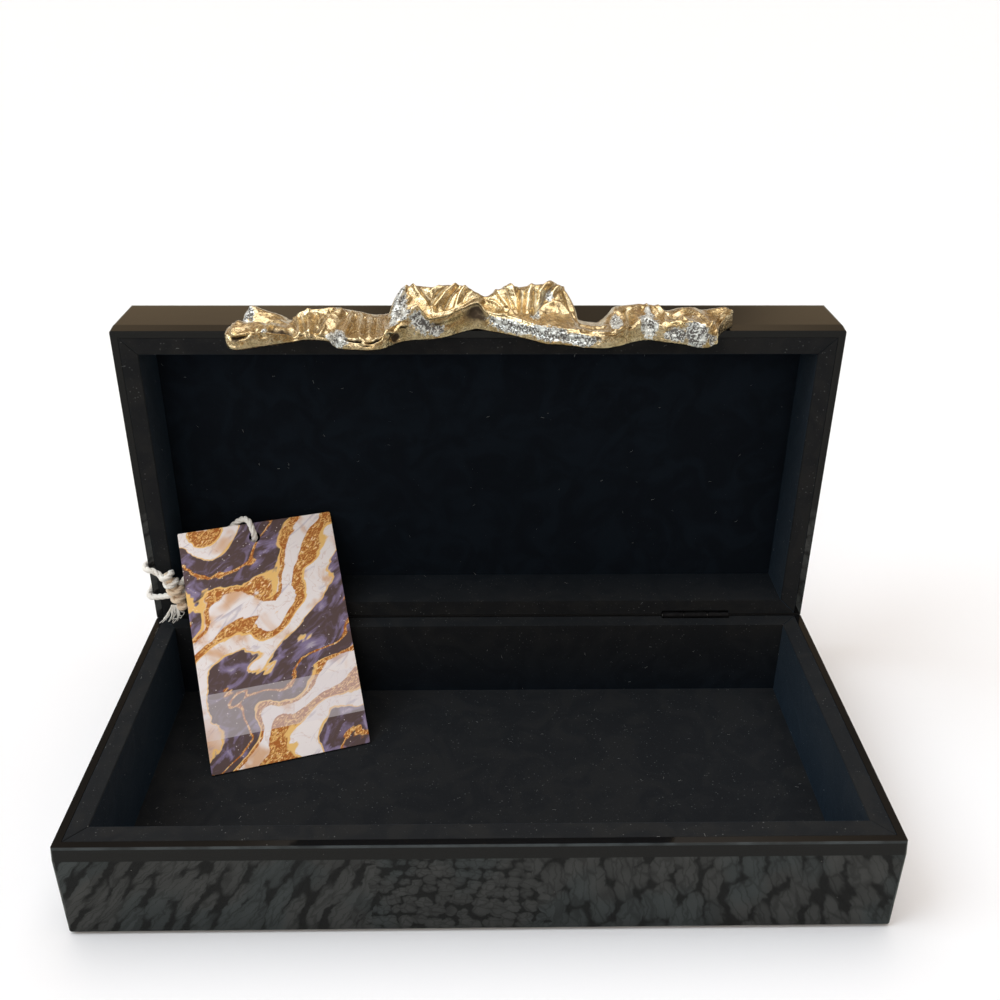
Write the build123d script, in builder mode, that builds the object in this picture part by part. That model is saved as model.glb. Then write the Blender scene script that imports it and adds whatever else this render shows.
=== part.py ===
"""Lacquered box with a hinged lid, velvet lining, cast handle and a hang tag.

Millimetres. X runs along the front, Y from front to back, Z up. The origin is the middle of
the base's footprint. The lid is modelled standing open on its stop, a quarter turn back.
"""

import os
from math import atan, cos, degrees, radians, sin, tan

from build123d import *

os.makedirs("parts", exist_ok=True)

# Box
box_width = 255.0
box_depth = 121.0
base_height = 36.0
lid_height = 31.0
wall_board = 8.2
floor_board = 3.0
lid_board = 10.8
corner_radius = 1.2
lid_edge_radius = 5.0
foot_edge_radius = 0.6
rim_bevel_height = 5.0
rim_bevel_depth = 0.5

# Velvet lining, let into the rims up to a bare lacquered lip
lining_thickness = 1.0
lacquer_lip = 3.0
floor_pad_thickness = 1.2
panel_pad_thickness = 1.0
foot_felt_thickness = 1.0
foot_felt_inset = 2.0

# Hinges; their axis lies at the root of the groove that the two rear bevels make
axis_inset = 2.5
rim_gap = 0.4
hinge_inset = 42.5
hinge_length = 26.0
hinge_end_clearance = 0.3
knuckle_radius = 1.5
middle_knuckle_length = 9.0
knuckle_gap = 0.3
pin_radius = 0.7
running_clearance = 0.05
leaf_thickness = 1.2
leaf_width = 5.6
recess_clearance = 0.1
barrel_clearance = 0.4
leaf_screw_pitch = 17.0
leaf_screw_setback = 3.9
leaf_screw_radius = 0.7
leaf_screw_length = 5.5
leaf_screw_head_radius = 1.3
leaf_screw_head_height = 0.7

# Cast handle on the lid's front board, hanging over the rim as a lift
handle_relief = 0.8
handle_relief_start = 1.0
handle_screw_radius = 1.5
handle_screw_grip = 4.2
handle_screw_setback = 4.6
handle_screw_head_radius = 2.9
handle_screw_head_height = 1.6
handle_screw_places = (-48.0, 12.0, 56.0)
bore_clearance = 0.05

# Hang tag, standing on the tray's floor and leaning back on the lid's lining
tag_width = 58.0
tag_height = 90.0
tag_thickness = 0.8
tag_turn = 17.3
tag_lean = 41.5
tag_foot_inset = 58.4
tag_foot_setback = 47.0
tag_hole_radius = 2.1
tag_hole_drop = 5.6
tag_hole_offset = -1.0
tag_floor_clearance = 0.1

# String: a knot with its frayed end in the rear left corner, one loop to the tag and one
# over the lid's side rim
string_diameter = 2.4
string_clearance = 0.3
string_bend_share = 0.45
string_edge_bend = 2.4
knot_radius = 4.0
knot_wrap_radius = 2.3
knot_wrap_pitch = 3.6
knot_wraps = 3
knot_inset = 1.5
tassel_radius = 4.6
tassel_neck = 1.7
tassel_length = 8.0

# Levels and planes that the pieces share
half_width = box_width / 2
half_depth = box_depth / 2
beyond = box_width
axis_y = half_depth - axis_inset
axis_z = base_height + rim_gap / 2
inner_width = box_width - 2 * wall_board
inner_depth = box_depth - 2 * wall_board
clear_width = inner_width - 2 * lining_thickness
clear_depth = inner_depth - 2 * lining_thickness
base_floor_top = foot_felt_thickness + floor_board
tray_floor = base_floor_top + floor_pad_thickness
lid_rim_y = axis_y + rim_gap / 2
lid_middle_z = axis_z + axis_y
lid_face_z = lid_middle_z + half_depth
lid_wall_height = lid_height - lid_board
leaf_drop = rim_gap / 2 + lining_thickness
hinge_middles = {"left": hinge_inset - half_width, "right": half_width - hinge_inset}

base_rim = Plane(origin=(0, 0, base_height), x_dir=(1, 0, 0), z_dir=(0, 0, 1))
lid_rim = Plane(origin=(0, lid_rim_y, lid_middle_z), x_dir=(1, 0, 0), z_dir=(0, -1, 0))


def save(piece, name):
    """Labels a finished builder and writes its STEP file."""
    piece.part.label = name
    export_step(piece.part, f"parts/{name}.step")
    print(f"{name}: {piece.part.volume / 1000:.2f} cm3")


# Outlines added to the sketch that is open; (Y, Z) or (X, Y) as the sketch's plane has it
def rectangle_between(first_low, first_high, second_low, second_high):
    with Locations(((first_low + first_high) / 2, (second_low + second_high) / 2)):
        Rectangle(first_high - first_low, second_high - second_low)


def barrel_outline(radius):
    with Locations((axis_y, axis_z)):
        Circle(radius)


def leaf_outline(lid, grow):
    if lid:
        rectangle_between(axis_y + leaf_drop - grow, axis_y + leaf_drop + leaf_thickness + grow,
                          axis_z, axis_z + leaf_width + grow)
    else:
        rectangle_between(axis_y - leaf_width - grow, axis_y,
                          axis_z - leaf_drop - leaf_thickness - grow, axis_z - leaf_drop + grow)


def web_outline(lid, grow):
    deep = leaf_drop + leaf_thickness + grow
    if lid:
        rectangle_between(axis_y, axis_y + deep, axis_z, axis_z + knuckle_radius + grow)
    else:
        rectangle_between(axis_y - knuckle_radius - grow, axis_y, axis_z - deep, axis_z)


def bevel_profile(lid):
    """Triangle that cuts the 45 degree bevel along the rear of a rim."""
    far = axis_inset + recess_clearance
    base_points = [(axis_y, base_height), (axis_y + far, base_height), (axis_y + far, base_height - far)]
    lid_points = [(lid_rim_y, axis_z), (lid_rim_y, axis_z - far), (lid_rim_y + far, axis_z - far)]
    with BuildSketch(Plane.YZ) as profile:
        with BuildLine():
            Polyline(*(lid_points if lid else base_points), close=True)
        make_face()
    return profile.sketch


# Outer shell with a shallow bevel below its rim, hollowed, and rebated for the lining
def shell(rim, body_height):
    slope = degrees(atan(rim_bevel_depth / rim_bevel_height))
    with BuildPart() as body:
        with BuildSketch(rim.offset(-body_height)):
            RectangleRounded(box_width, box_depth, corner_radius)
        extrude(amount=body_height - rim_bevel_height)
        with BuildSketch(rim.offset(-rim_bevel_height)):
            RectangleRounded(box_width, box_depth, corner_radius)
        extrude(amount=rim_bevel_height, taper=slope)
        with BuildSketch(rim):
            Rectangle(inner_width, inner_depth)
        extrude(amount=-body_height, mode=Mode.SUBTRACT)
        with BuildSketch(rim):
            Rectangle(box_width - 2 * lacquer_lip, box_depth - 2 * lacquer_lip)
        extrude(amount=-lining_thickness, mode=Mode.SUBTRACT)
    return body


# Room for the leaves, webs and barrels of both hinges
def hinge_recess(lid):
    length = hinge_length + 2 * hinge_end_clearance
    with BuildPart() as recess:
        for middle in hinge_middles.values():
            with BuildSketch(Plane.YZ.offset(middle - length / 2)):
                barrel_outline(knuckle_radius + barrel_clearance)
                leaf_outline(lid, recess_clearance)
                web_outline(lid, recess_clearance)
            extrude(amount=length)
    return recess


# Countersunk wood screws of one kind of leaf, over both hinges; grown for their holes
def leaf_screws(lid, grow):
    if lid:
        face = Plane(origin=(0, axis_y + leaf_drop, axis_z), x_dir=(1, 0, 0), z_dir=(0, -1, 0))
    else:
        face = Plane(origin=(0, axis_y, axis_z - leaf_drop), x_dir=(1, 0, 0), z_dir=(0, 0, 1))
    row = leaf_screw_setback if lid else -leaf_screw_setback
    places = [(middle + side * leaf_screw_pitch / 2, row)
              for middle in hinge_middles.values() for side in (-1, 1)]
    slope = degrees(atan((leaf_screw_head_radius - leaf_screw_radius) / leaf_screw_head_height))
    with BuildPart() as screws:
        with BuildSketch(face):
            with Locations(*places):
                Circle(leaf_screw_radius + grow)
        extrude(amount=-leaf_screw_length - grow)
        with BuildSketch(face):
            with Locations(*places):
                Circle(leaf_screw_head_radius + grow)
        extrude(amount=-leaf_screw_head_height, taper=slope)
    return screws


# Countersunk machine screws from inside the lid's front board into the handle
def handle_screws(grow):
    seat = lid_face_z - wall_board
    slope = degrees(atan((handle_screw_head_radius - handle_screw_radius) / handle_screw_head_height))
    places = [(x, lid_rim_y + handle_screw_setback) for x in handle_screw_places]
    with BuildPart() as screws:
        with BuildSketch(Plane.XY.offset(seat)):
            with Locations(*places):
                Circle(handle_screw_radius + grow)
        extrude(amount=wall_board + handle_screw_grip + grow)
        with BuildSketch(Plane.XY.offset(seat)):
            with Locations(*places):
                Circle(handle_screw_head_radius + grow)
        extrude(amount=handle_screw_head_height, taper=slope)
    return screws


def side_profile(rim, side):
    """Wedge over one mitred side of a ring; side 0 is local -Y, 1 is +X, 2 is +Y, 3 is -X."""
    near, far = (half_depth, half_width) if side % 2 == 0 else (half_width, half_depth)
    tip = 2 * wall_board
    angle = radians(90 * side)
    frame = Plane(rim.origin, x_dir=rim.x_dir * cos(angle) + rim.y_dir * sin(angle), z_dir=rim.z_dir)
    with BuildSketch(frame) as profile:
        with BuildLine():
            Polyline((-far - beyond, -near - beyond), (far + beyond, -near - beyond),
                     (far - tip, tip - near), (tip - far, tip - near), close=True)
        make_face()
    return profile.sketch


# Base: four mitred boards, floor board and underside felt
base_shell = shell(base_rim, base_height - foot_felt_thickness)
base_recess = hinge_recess(False)
base_places = ("front", "right", "back", "left")
for side, place in enumerate(base_places):
    with BuildPart() as base_wall:
        add(base_shell.part)
        extrude(side_profile(base_rim, side), amount=beyond, both=True, mode=Mode.INTERSECT)
        extrude(bevel_profile(False), amount=beyond, both=True, mode=Mode.SUBTRACT)
        foot = base_wall.faces().sort_by(Axis.Z)[0]
        outer = {"front": Axis.Y, "right": -Axis.X, "back": -Axis.Y, "left": Axis.X}[place]
        fillet(foot.edges().sort_by(outer)[0], radius=foot_edge_radius)
        if place == "back":
            add(base_recess.part, mode=Mode.SUBTRACT)
            add(leaf_screws(False, bore_clearance).part, mode=Mode.SUBTRACT)
    save(base_wall, f"base_{place}_wall")

with BuildPart() as base_floor:
    with BuildSketch(Plane.XY.offset(foot_felt_thickness)):
        Rectangle(inner_width, inner_depth)
    extrude(amount=floor_board)
save(base_floor, "base_floor_board")

with BuildPart() as base_felt:
    with BuildSketch(Plane.XY):
        RectangleRounded(box_width - 2 * foot_felt_inset, box_depth - 2 * foot_felt_inset, corner_radius)
    extrude(amount=foot_felt_thickness)
save(base_felt, "base_underside_felt")


# Lining ring: a leg down the boards and a flange over the rim as far as the lip
def lining_ring(rim, leg_height):
    with BuildPart() as ring:
        with BuildSketch(rim):
            Rectangle(box_width - 2 * lacquer_lip, box_depth - 2 * lacquer_lip)
            Rectangle(inner_width, inner_depth, mode=Mode.SUBTRACT)
        extrude(amount=-lining_thickness)
        with BuildSketch(rim):
            Rectangle(inner_width, inner_depth)
            Rectangle(clear_width, clear_depth, mode=Mode.SUBTRACT)
        extrude(amount=-leg_height)
    return ring


def lining_side(ring, rim, side, lid, recess):
    with BuildPart() as strip:
        add(ring.part)
        extrude(side_profile(rim, side), amount=beyond, both=True, mode=Mode.INTERSECT)
        extrude(bevel_profile(lid), amount=beyond, both=True, mode=Mode.SUBTRACT)
        if recess is not None:
            add(recess.part, mode=Mode.SUBTRACT)
    return strip


base_lining = lining_ring(base_rim, base_height - base_floor_top)
for side, place in enumerate(base_places):
    recess = base_recess if place == "back" else None
    save(lining_side(base_lining, base_rim, side, False, recess), f"base_{place}_lining")

with BuildPart() as base_pad:
    with BuildSketch(Plane.XY.offset(base_floor_top)):
        Rectangle(clear_width, clear_depth)
    extrude(amount=floor_pad_thickness)
save(base_pad, "base_floor_lining")

# Lid: four mitred boards and a thick top board with rounded edges
lid_shell = shell(lid_rim, lid_wall_height)
lid_recess = hinge_recess(True)
lid_places = ("back", "right", "front", "left")
for side, place in enumerate(lid_places):
    with BuildPart() as lid_wall:
        add(lid_shell.part)
        extrude(side_profile(lid_rim, side), amount=beyond, both=True, mode=Mode.INTERSECT)
        extrude(bevel_profile(True), amount=beyond, both=True, mode=Mode.SUBTRACT)
        if place == "back":
            add(lid_recess.part, mode=Mode.SUBTRACT)
            add(leaf_screws(True, bore_clearance).part, mode=Mode.SUBTRACT)
        if place == "front":
            add(handle_screws(bore_clearance).part, mode=Mode.SUBTRACT)
    save(lid_wall, f"lid_{place}_wall")

lid_top_back = lid_rim_y + lid_height
with BuildPart() as lid_top:
    with BuildSketch(lid_rim.offset(-lid_wall_height)):
        RectangleRounded(box_width, box_depth, corner_radius)
    extrude(amount=-lid_board)
    with BuildSketch(Plane.XY.offset(lid_middle_z - half_depth)):
        with BuildLine():
            low = lid_rim_y + lid_wall_height
            FilletPolyline((-half_width, low), (-half_width, lid_top_back), (half_width, lid_top_back),
                           (half_width, low), radius=lid_edge_radius)
            Line((half_width, low), (-half_width, low))
        make_face()
    extrude(amount=box_depth, mode=Mode.INTERSECT)
    with BuildSketch(Plane.YZ.offset(-half_width)):
        with BuildLine():
            bottom = lid_middle_z - half_depth
            FilletPolyline((low, bottom), (lid_top_back, bottom), (lid_top_back, lid_face_z),
                           (low, lid_face_z), radius=lid_edge_radius)
            Line((low, lid_face_z), (low, bottom))
        make_face()
    extrude(amount=box_width, mode=Mode.INTERSECT)
save(lid_top, "lid_top_board")

lid_lining = lining_ring(lid_rim, lid_wall_height)
for side, place in enumerate(lid_places):
    recess = lid_recess if place == "back" else None
    save(lining_side(lid_lining, lid_rim, side, True, recess), f"lid_{place}_lining")

with BuildPart() as lid_pad:
    with BuildSketch(lid_rim.offset(-lid_wall_height)):
        Rectangle(clear_width, clear_depth)
    extrude(amount=panel_pad_thickness)
save(lid_pad, "lid_panel_lining")


# One leaf of a hinge; the lid's carries the middle knuckle and the base's the outer two
def hinge_leaf(middle, lid):
    outer = (hinge_length - middle_knuckle_length) / 2 - knuckle_gap
    first = middle - hinge_length / 2
    centre_start = middle - middle_knuckle_length / 2
    outer_starts = (first, middle + hinge_length / 2 - outer)
    if lid:
        knuckles = [(centre_start, middle_knuckle_length)]
        gaps = [(start, outer + knuckle_gap) for start in (first, outer_starts[1] - knuckle_gap)]
    else:
        knuckles = [(start, outer) for start in outer_starts]
        gaps = [(centre_start - knuckle_gap, middle_knuckle_length + 2 * knuckle_gap)]
    with BuildPart() as leaf:
        with BuildSketch(Plane.YZ.offset(first)):
            leaf_outline(lid, 0)
        extrude(amount=hinge_length)
        for start, length in gaps:
            with BuildSketch(Plane.YZ.offset(start)):
                barrel_outline(knuckle_radius + barrel_clearance)
            extrude(amount=length, mode=Mode.SUBTRACT)
        for start, length in knuckles:
            with BuildSketch(Plane.YZ.offset(start)):
                web_outline(lid, 0)
                barrel_outline(knuckle_radius)
            extrude(amount=length)
        with BuildSketch(Plane.YZ.offset(first)):
            barrel_outline(pin_radius + running_clearance)
        extrude(amount=hinge_length, mode=Mode.SUBTRACT)
        add(leaf_screws(lid, bore_clearance).part, mode=Mode.SUBTRACT)
    return leaf


for place, middle in hinge_middles.items():
    save(hinge_leaf(middle, False), f"{place}_hinge_base_leaf")
    save(hinge_leaf(middle, True), f"{place}_hinge_lid_leaf")
    with BuildPart() as pin:
        with BuildSketch(Plane.YZ.offset(middle - hinge_length / 2)):
            barrel_outline(pin_radius)
        extrude(amount=hinge_length)
    save(pin, f"{place}_hinge_pin")

save(leaf_screws(False, 0), "hinge_base_screws")
save(leaf_screws(True, 0), "hinge_lid_screws")

# Cast handle: a folded bar lofted through stations along X. Each station gives its place, its
# reach over the rim and behind it, and the heights of its front lip, its hollow and its crest.
handle_stations = (
    (-84.0, 12.5, 2.0, 3.0, 2.8, 2.4),
    (-79.0, 23.4, 9.0, 7.0, 4.4, 6.6),
    (-72.0, 21.4, 8.5, 6.6, 3.6, 4.6),
    (-64.0, 18.0, 6.5, 4.0, 2.8, 2.8),
    (-51.0, 15.6, 9.5, 3.6, 5.2, 6.6),
    (-45.0, 22.6, 9.0, 6.0, 6.2, 5.4),
    (-35.0, 24.4, 8.0, 5.2, 6.4, 4.4),
    (-30.0, 22.2, 10.0, 7.0, 5.6, 7.2),
    (-24.0, 16.0, 15.0, 10.4, 7.6, 13.0),
    (-11.0, 12.0, 16.0, 8.4, 6.4, 13.4),
    (-1.0, 4.2, 14.0, 10.4, 8.6, 10.8),
    (11.0, 10.6, 15.5, 6.4, 8.0, 13.8),
    (25.5, 19.2, 15.5, 6.4, 8.4, 14.0),
    (31.5, 21.4, 11.0, 6.0, 5.8, 9.0),
    (34.5, 22.4, 4.5, 6.0, 5.0, 4.4),
    (43.5, 21.6, 4.0, 5.8, 5.0, 5.4),
    (55.0, 15.0, 10.0, 8.8, 6.8, 7.4),
    (65.0, 18.6, 9.0, 8.2, 5.6, 5.6),
    (74.0, 22.4, 9.0, 8.4, 7.4, 6.8),
    (87.0, 2.0, 4.5, 5.4, 5.6, 5.2),
)
lip_lean = 1.3
hollow_share = 0.60
ridge_share = 0.28
shoulder_share = 0.50


# Section of the handle: flat back on the lid's face, steep front up to the lip, then the fold
def handle_section(x, over, behind, lip, dip, crest):
    span = over + behind
    with BuildSketch(Plane(origin=(x, lid_rim_y, lid_face_z), x_dir=(0, 1, 0), z_dir=(1, 0, 0))) as section:
        with BuildLine():
            Line((-over, 0), (lip_lean - over, lip))
            Spline((lip_lean - over, lip), (behind - hollow_share * span, dip),
                   (behind - ridge_share * span, crest), (behind, shoulder_share * crest))
            Polyline((behind, shoulder_share * crest), (behind, 0), (-over, 0))
        make_face()
    return section.sketch


with BuildPart() as handle:
    loft([handle_section(*station) for station in handle_stations], ruled=True)
    with BuildSketch(Plane.XY.offset(lid_face_z - handle_relief)):
        rectangle_between(-half_width, half_width, -half_depth, lid_rim_y + handle_relief_start)
    extrude(amount=2 * handle_relief, mode=Mode.SUBTRACT)
    add(handle_screws(bore_clearance).part, mode=Mode.SUBTRACT)
save(handle, "handle")
save(handle_screws(0), "handle_screws")

# Hang tag
turn = radians(tag_turn)
lean = radians(tag_lean)
tag_foot_z = tray_floor + tag_thickness * sin(lean) + tag_floor_clearance
tag_face = Plane(
    origin=(tag_foot_inset - half_width, axis_y - tag_foot_setback, tag_foot_z),
    x_dir=(cos(turn), sin(turn), 0),
    z_dir=(sin(turn) * cos(lean), -cos(turn) * cos(lean), sin(lean)),
)
with BuildPart() as tag:
    with BuildSketch(tag_face):
        with Locations((0, tag_height / 2)):
            Rectangle(tag_width, tag_height)
        with Locations((tag_hole_offset, tag_height - tag_hole_drop)):
            Circle(tag_hole_radius, mode=Mode.SUBTRACT)
    extrude(amount=-tag_thickness)
save(tag, "hang_tag")

# String: knot centre, standing with its frayed end just over the base's side rim
knot_rise = (knot_wraps - 1) * knot_wrap_pitch / 2 + knot_wrap_radius
knot_x = knot_inset - clear_width / 2
knot_y = lid_rim_y - string_clearance - max(knot_radius, tassel_radius)
knot_z = base_height + string_clearance + tassel_length + knot_rise
string_radius = string_diameter / 2


def string_loop(points, edge_bends):
    """Tube through points; turns in edge_bends are folds round an edge, the rest run wide."""
    radii = []
    for index in range(1, len(points) - 1):
        before, here, after = (Vector(*points[index + step]) for step in (-1, 0, 1))
        turning = (here - before).get_angle(after - here)
        shorter = min((here - before).length, (after - here).length)
        wide = string_bend_share * shorter / tan(radians(turning) / 2)
        radii.append(min(wide, string_edge_bend) if index in edge_bends else min(wide, 6 * string_diameter))
    with BuildPart() as loop:
        with BuildLine() as route:
            FilletPolyline(*points, radius=radii)
        with BuildSketch(Plane(origin=route.wire() @ 0, z_dir=route.wire() % 0)):
            Circle(string_radius)
        sweep()
    print("string length", round(route.wire().length, 1), "radii", [round(r, 1) for r in radii])
    return loop


# Tag's hole: local X along the tag's width, local Y up the tag, local Z off its face
tag_hole = tag_face.shift_origin(
    tag_face.from_local_coords((tag_hole_offset, tag_height - tag_hole_drop, 0)))


def by_hole(across, up, off):
    return tuple(tag_hole.from_local_coords((across, up, off)))


save(string_loop([
    (knot_x + 1.8, knot_y + 1.0, knot_z - 0.4),
    (knot_x + 13.5, knot_y + 6.4, knot_z + 4.2),
    by_hole(0, -0.4, -4.6),
    by_hole(0, -0.2, 2.9),
    by_hole(-1.6, tag_hole_drop + 2.2, 2.7),
    by_hole(-6.6, tag_hole_drop + 2.0, -4.2),
    (knot_x + 9.5, knot_y + 8.2, knot_z + 10.4),
    (knot_x + 1.8, knot_y + 1.2, knot_z + 3.4),
], (2, 3, 4, 5)), "tag_string")

string_out_x = -half_width - string_radius - string_clearance
string_fore_y = lid_rim_y - string_radius - string_clearance - 0.4
save(string_loop([
    (knot_x - 1.2, knot_y + 0.4, knot_z + 2.6),
    (knot_x - 5.6, knot_y + 2.0, knot_z + 8.8),
    (string_out_x, string_fore_y, knot_z + 9.4),
    (string_out_x, lid_rim_y + 10.0, knot_z + 6.2),
    (string_out_x, lid_rim_y + 9.4, knot_z - 4.8),
    (string_out_x, string_fore_y, knot_z - 3.4),
    (knot_x - 5.6, knot_y + 2.2, knot_z - 2.6),
    (knot_x - 1.2, knot_y + 0.4, knot_z - 0.6),
], (2, 5)), "hinge_string")

with BuildPart() as knot:
    with BuildSketch(Plane(origin=(knot_x, knot_y, knot_z), x_dir=(1, 0, 0), z_dir=(0, -1, 0))):
        for index in range(knot_wraps):
            rise = knot_wrap_pitch * (index - (knot_wraps - 1) / 2)
            with Locations((knot_radius - knot_wrap_radius, rise)):
                Circle(knot_wrap_radius)
        rectangle_between(0, knot_radius - knot_wrap_radius, -knot_rise, knot_rise)
        rectangle_between(-knot_radius, 0, -knot_rise, knot_rise)
        with BuildLine():
            Spline((tassel_neck, -knot_rise + knot_wrap_radius),
                   (tassel_neck * 1.5, -knot_rise - tassel_length / 3),
                   (tassel_radius, -knot_rise - tassel_length))
            Polyline((tassel_radius, -knot_rise - tassel_length), (0, -knot_rise - tassel_length),
                     (0, -knot_rise + knot_wrap_radius), (tassel_neck, -knot_rise + knot_wrap_radius))
        make_face()
        with Locations((-knot_radius, 0)):
            Rectangle(2 * knot_radius, 4 * (knot_rise + tassel_length), mode=Mode.SUBTRACT)
    revolve(axis=Axis((knot_x, knot_y, knot_z), (0, 0, 1)))
save(knot, "string_knot")
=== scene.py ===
"""Looks of the lacquered box: gloss lacquer, velvet, cast gilt handle, hang tag and string.

Metres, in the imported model's own frame. X runs along the front, Y from front to back, Z up, and
the lid stands open. Sizes in the dataclasses are millimetres where their names end in _mm.
"""

from __future__ import annotations

import logging
import math
from dataclasses import dataclass, field
from enum import Enum
from typing import Any, Callable, Iterable, Sequence
import bmesh
import bpy
import numpy as np
from mathutils import Matrix, Vector, noise


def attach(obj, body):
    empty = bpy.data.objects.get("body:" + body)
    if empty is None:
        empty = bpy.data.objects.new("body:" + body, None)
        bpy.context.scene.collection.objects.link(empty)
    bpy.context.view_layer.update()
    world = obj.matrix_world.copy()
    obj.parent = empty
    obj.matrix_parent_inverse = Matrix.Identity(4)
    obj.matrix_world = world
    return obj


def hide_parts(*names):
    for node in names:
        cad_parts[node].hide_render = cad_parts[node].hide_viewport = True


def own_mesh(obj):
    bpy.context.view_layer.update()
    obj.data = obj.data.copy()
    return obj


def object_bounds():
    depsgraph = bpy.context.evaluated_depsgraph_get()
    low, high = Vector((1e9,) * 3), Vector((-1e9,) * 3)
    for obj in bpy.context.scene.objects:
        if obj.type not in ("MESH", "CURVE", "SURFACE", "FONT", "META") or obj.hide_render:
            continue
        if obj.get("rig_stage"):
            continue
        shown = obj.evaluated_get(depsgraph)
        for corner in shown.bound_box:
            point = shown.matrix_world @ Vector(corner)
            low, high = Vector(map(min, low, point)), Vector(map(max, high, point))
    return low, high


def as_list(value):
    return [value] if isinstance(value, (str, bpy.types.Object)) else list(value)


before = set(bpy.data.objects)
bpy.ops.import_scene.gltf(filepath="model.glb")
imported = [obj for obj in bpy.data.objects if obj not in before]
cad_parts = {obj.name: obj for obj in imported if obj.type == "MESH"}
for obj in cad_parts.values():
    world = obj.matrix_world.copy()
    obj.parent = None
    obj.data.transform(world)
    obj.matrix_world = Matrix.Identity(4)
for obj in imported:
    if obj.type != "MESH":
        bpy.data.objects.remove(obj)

log = logging.getLogger("lacquered_box")
Piece = bpy.types.Object
Material = bpy.types.Material
MM = 0.001


class Body(Enum):
    """The two rigid bodies of the box."""

    BASE = "base"
    LID = "lid"


# --- Node trees ---


def operator(operation: str, swapped: bool = False) -> Callable[["Wire", Any], "Wire"]:
    """Makes an operator of Wire.

    Args:
        operation: What its Math node does.
        swapped: Whether the wire comes second.

    Returns:
        The method that adds the node.
    """

    def method(self: "Wire", other: Any) -> "Wire":
        """Adds the Math node."""
        first, second = (other, self) if swapped else (self, other)
        return self.graph.add("ShaderNodeMath", {"operation": operation}, {0: first, 1: second})

    return method


class Wire:
    """A socket that sums can be written on; each operator adds the Math node it stands for."""

    __add__ = __radd__ = operator("ADD")
    __sub__ = operator("SUBTRACT")
    __rsub__ = operator("SUBTRACT", swapped=True)
    __mul__ = __rmul__ = operator("MULTIPLY")
    __truediv__ = operator("DIVIDE")
    __gt__ = operator("GREATER_THAN")
    lower = operator("MINIMUM")
    higher = operator("MAXIMUM")

    def __init__(self, graph: "Graph", socket: bpy.types.NodeSocket) -> None:
        """Wraps an output socket of a graph."""
        self.graph = graph
        self.socket = socket

    def of(self, name: str | int) -> "Wire":
        """Another output of the same node."""
        return Wire(self.graph, self.socket.node.outputs[name])

    def step(self, low: float, high: float) -> "Wire":
        """Smooth step from 0 at low to 1 at high."""
        return self.graph.add(
            "ShaderNodeMapRange",
            {"interpolation_type": "SMOOTHSTEP"},
            {"Value": self, "From Min": low, "From Max": high, "To Min": 0.0, "To Max": 1.0},
        )


class Graph:
    """A shader or geometry node tree."""

    def __init__(self, tree: bpy.types.NodeTree) -> None:
        """Wraps a tree and empties it.

        Args:
            tree: The tree to build in.
        """
        self.tree = tree
        tree.nodes.clear()

    def add(
        self,
        kind: str,
        settings: dict[str, Any] | None = None,
        inputs: dict[str | int, Any] | None = None,
        output: str | int = 0,
    ) -> Wire:
        """Adds a node.

        Args:
            kind: The node's type.
            settings: Properties to set before the sockets.
            inputs: Values or wires by socket name or number.
            output: The output that the returned wire stands on.

        Returns:
            A wire on that output.
        """
        node = self.tree.nodes.new(kind)
        for name, value in (settings or {}).items():
            setattr(node, name, value)
        for name, value in (inputs or {}).items():
            if isinstance(value, Wire):
                self.tree.links.new(value.socket, node.inputs[name])
            else:
                node.inputs[name].default_value = value
        return Wire(self, node.outputs[output] if node.outputs else node.inputs[0])

    def split(self, vector: Wire) -> tuple[Wire, Wire, Wire]:
        """X, Y and Z of a vector."""
        axes = self.add("ShaderNodeSeparateXYZ", None, {"Vector": vector})
        return axes, axes.of("Y"), axes.of("Z")

    def flat(self, x: Wire, y: Wire) -> Wire:
        """The vector of an X and a Y."""
        return self.add("ShaderNodeCombineXYZ", None, {"X": x, "Y": y})


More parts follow.
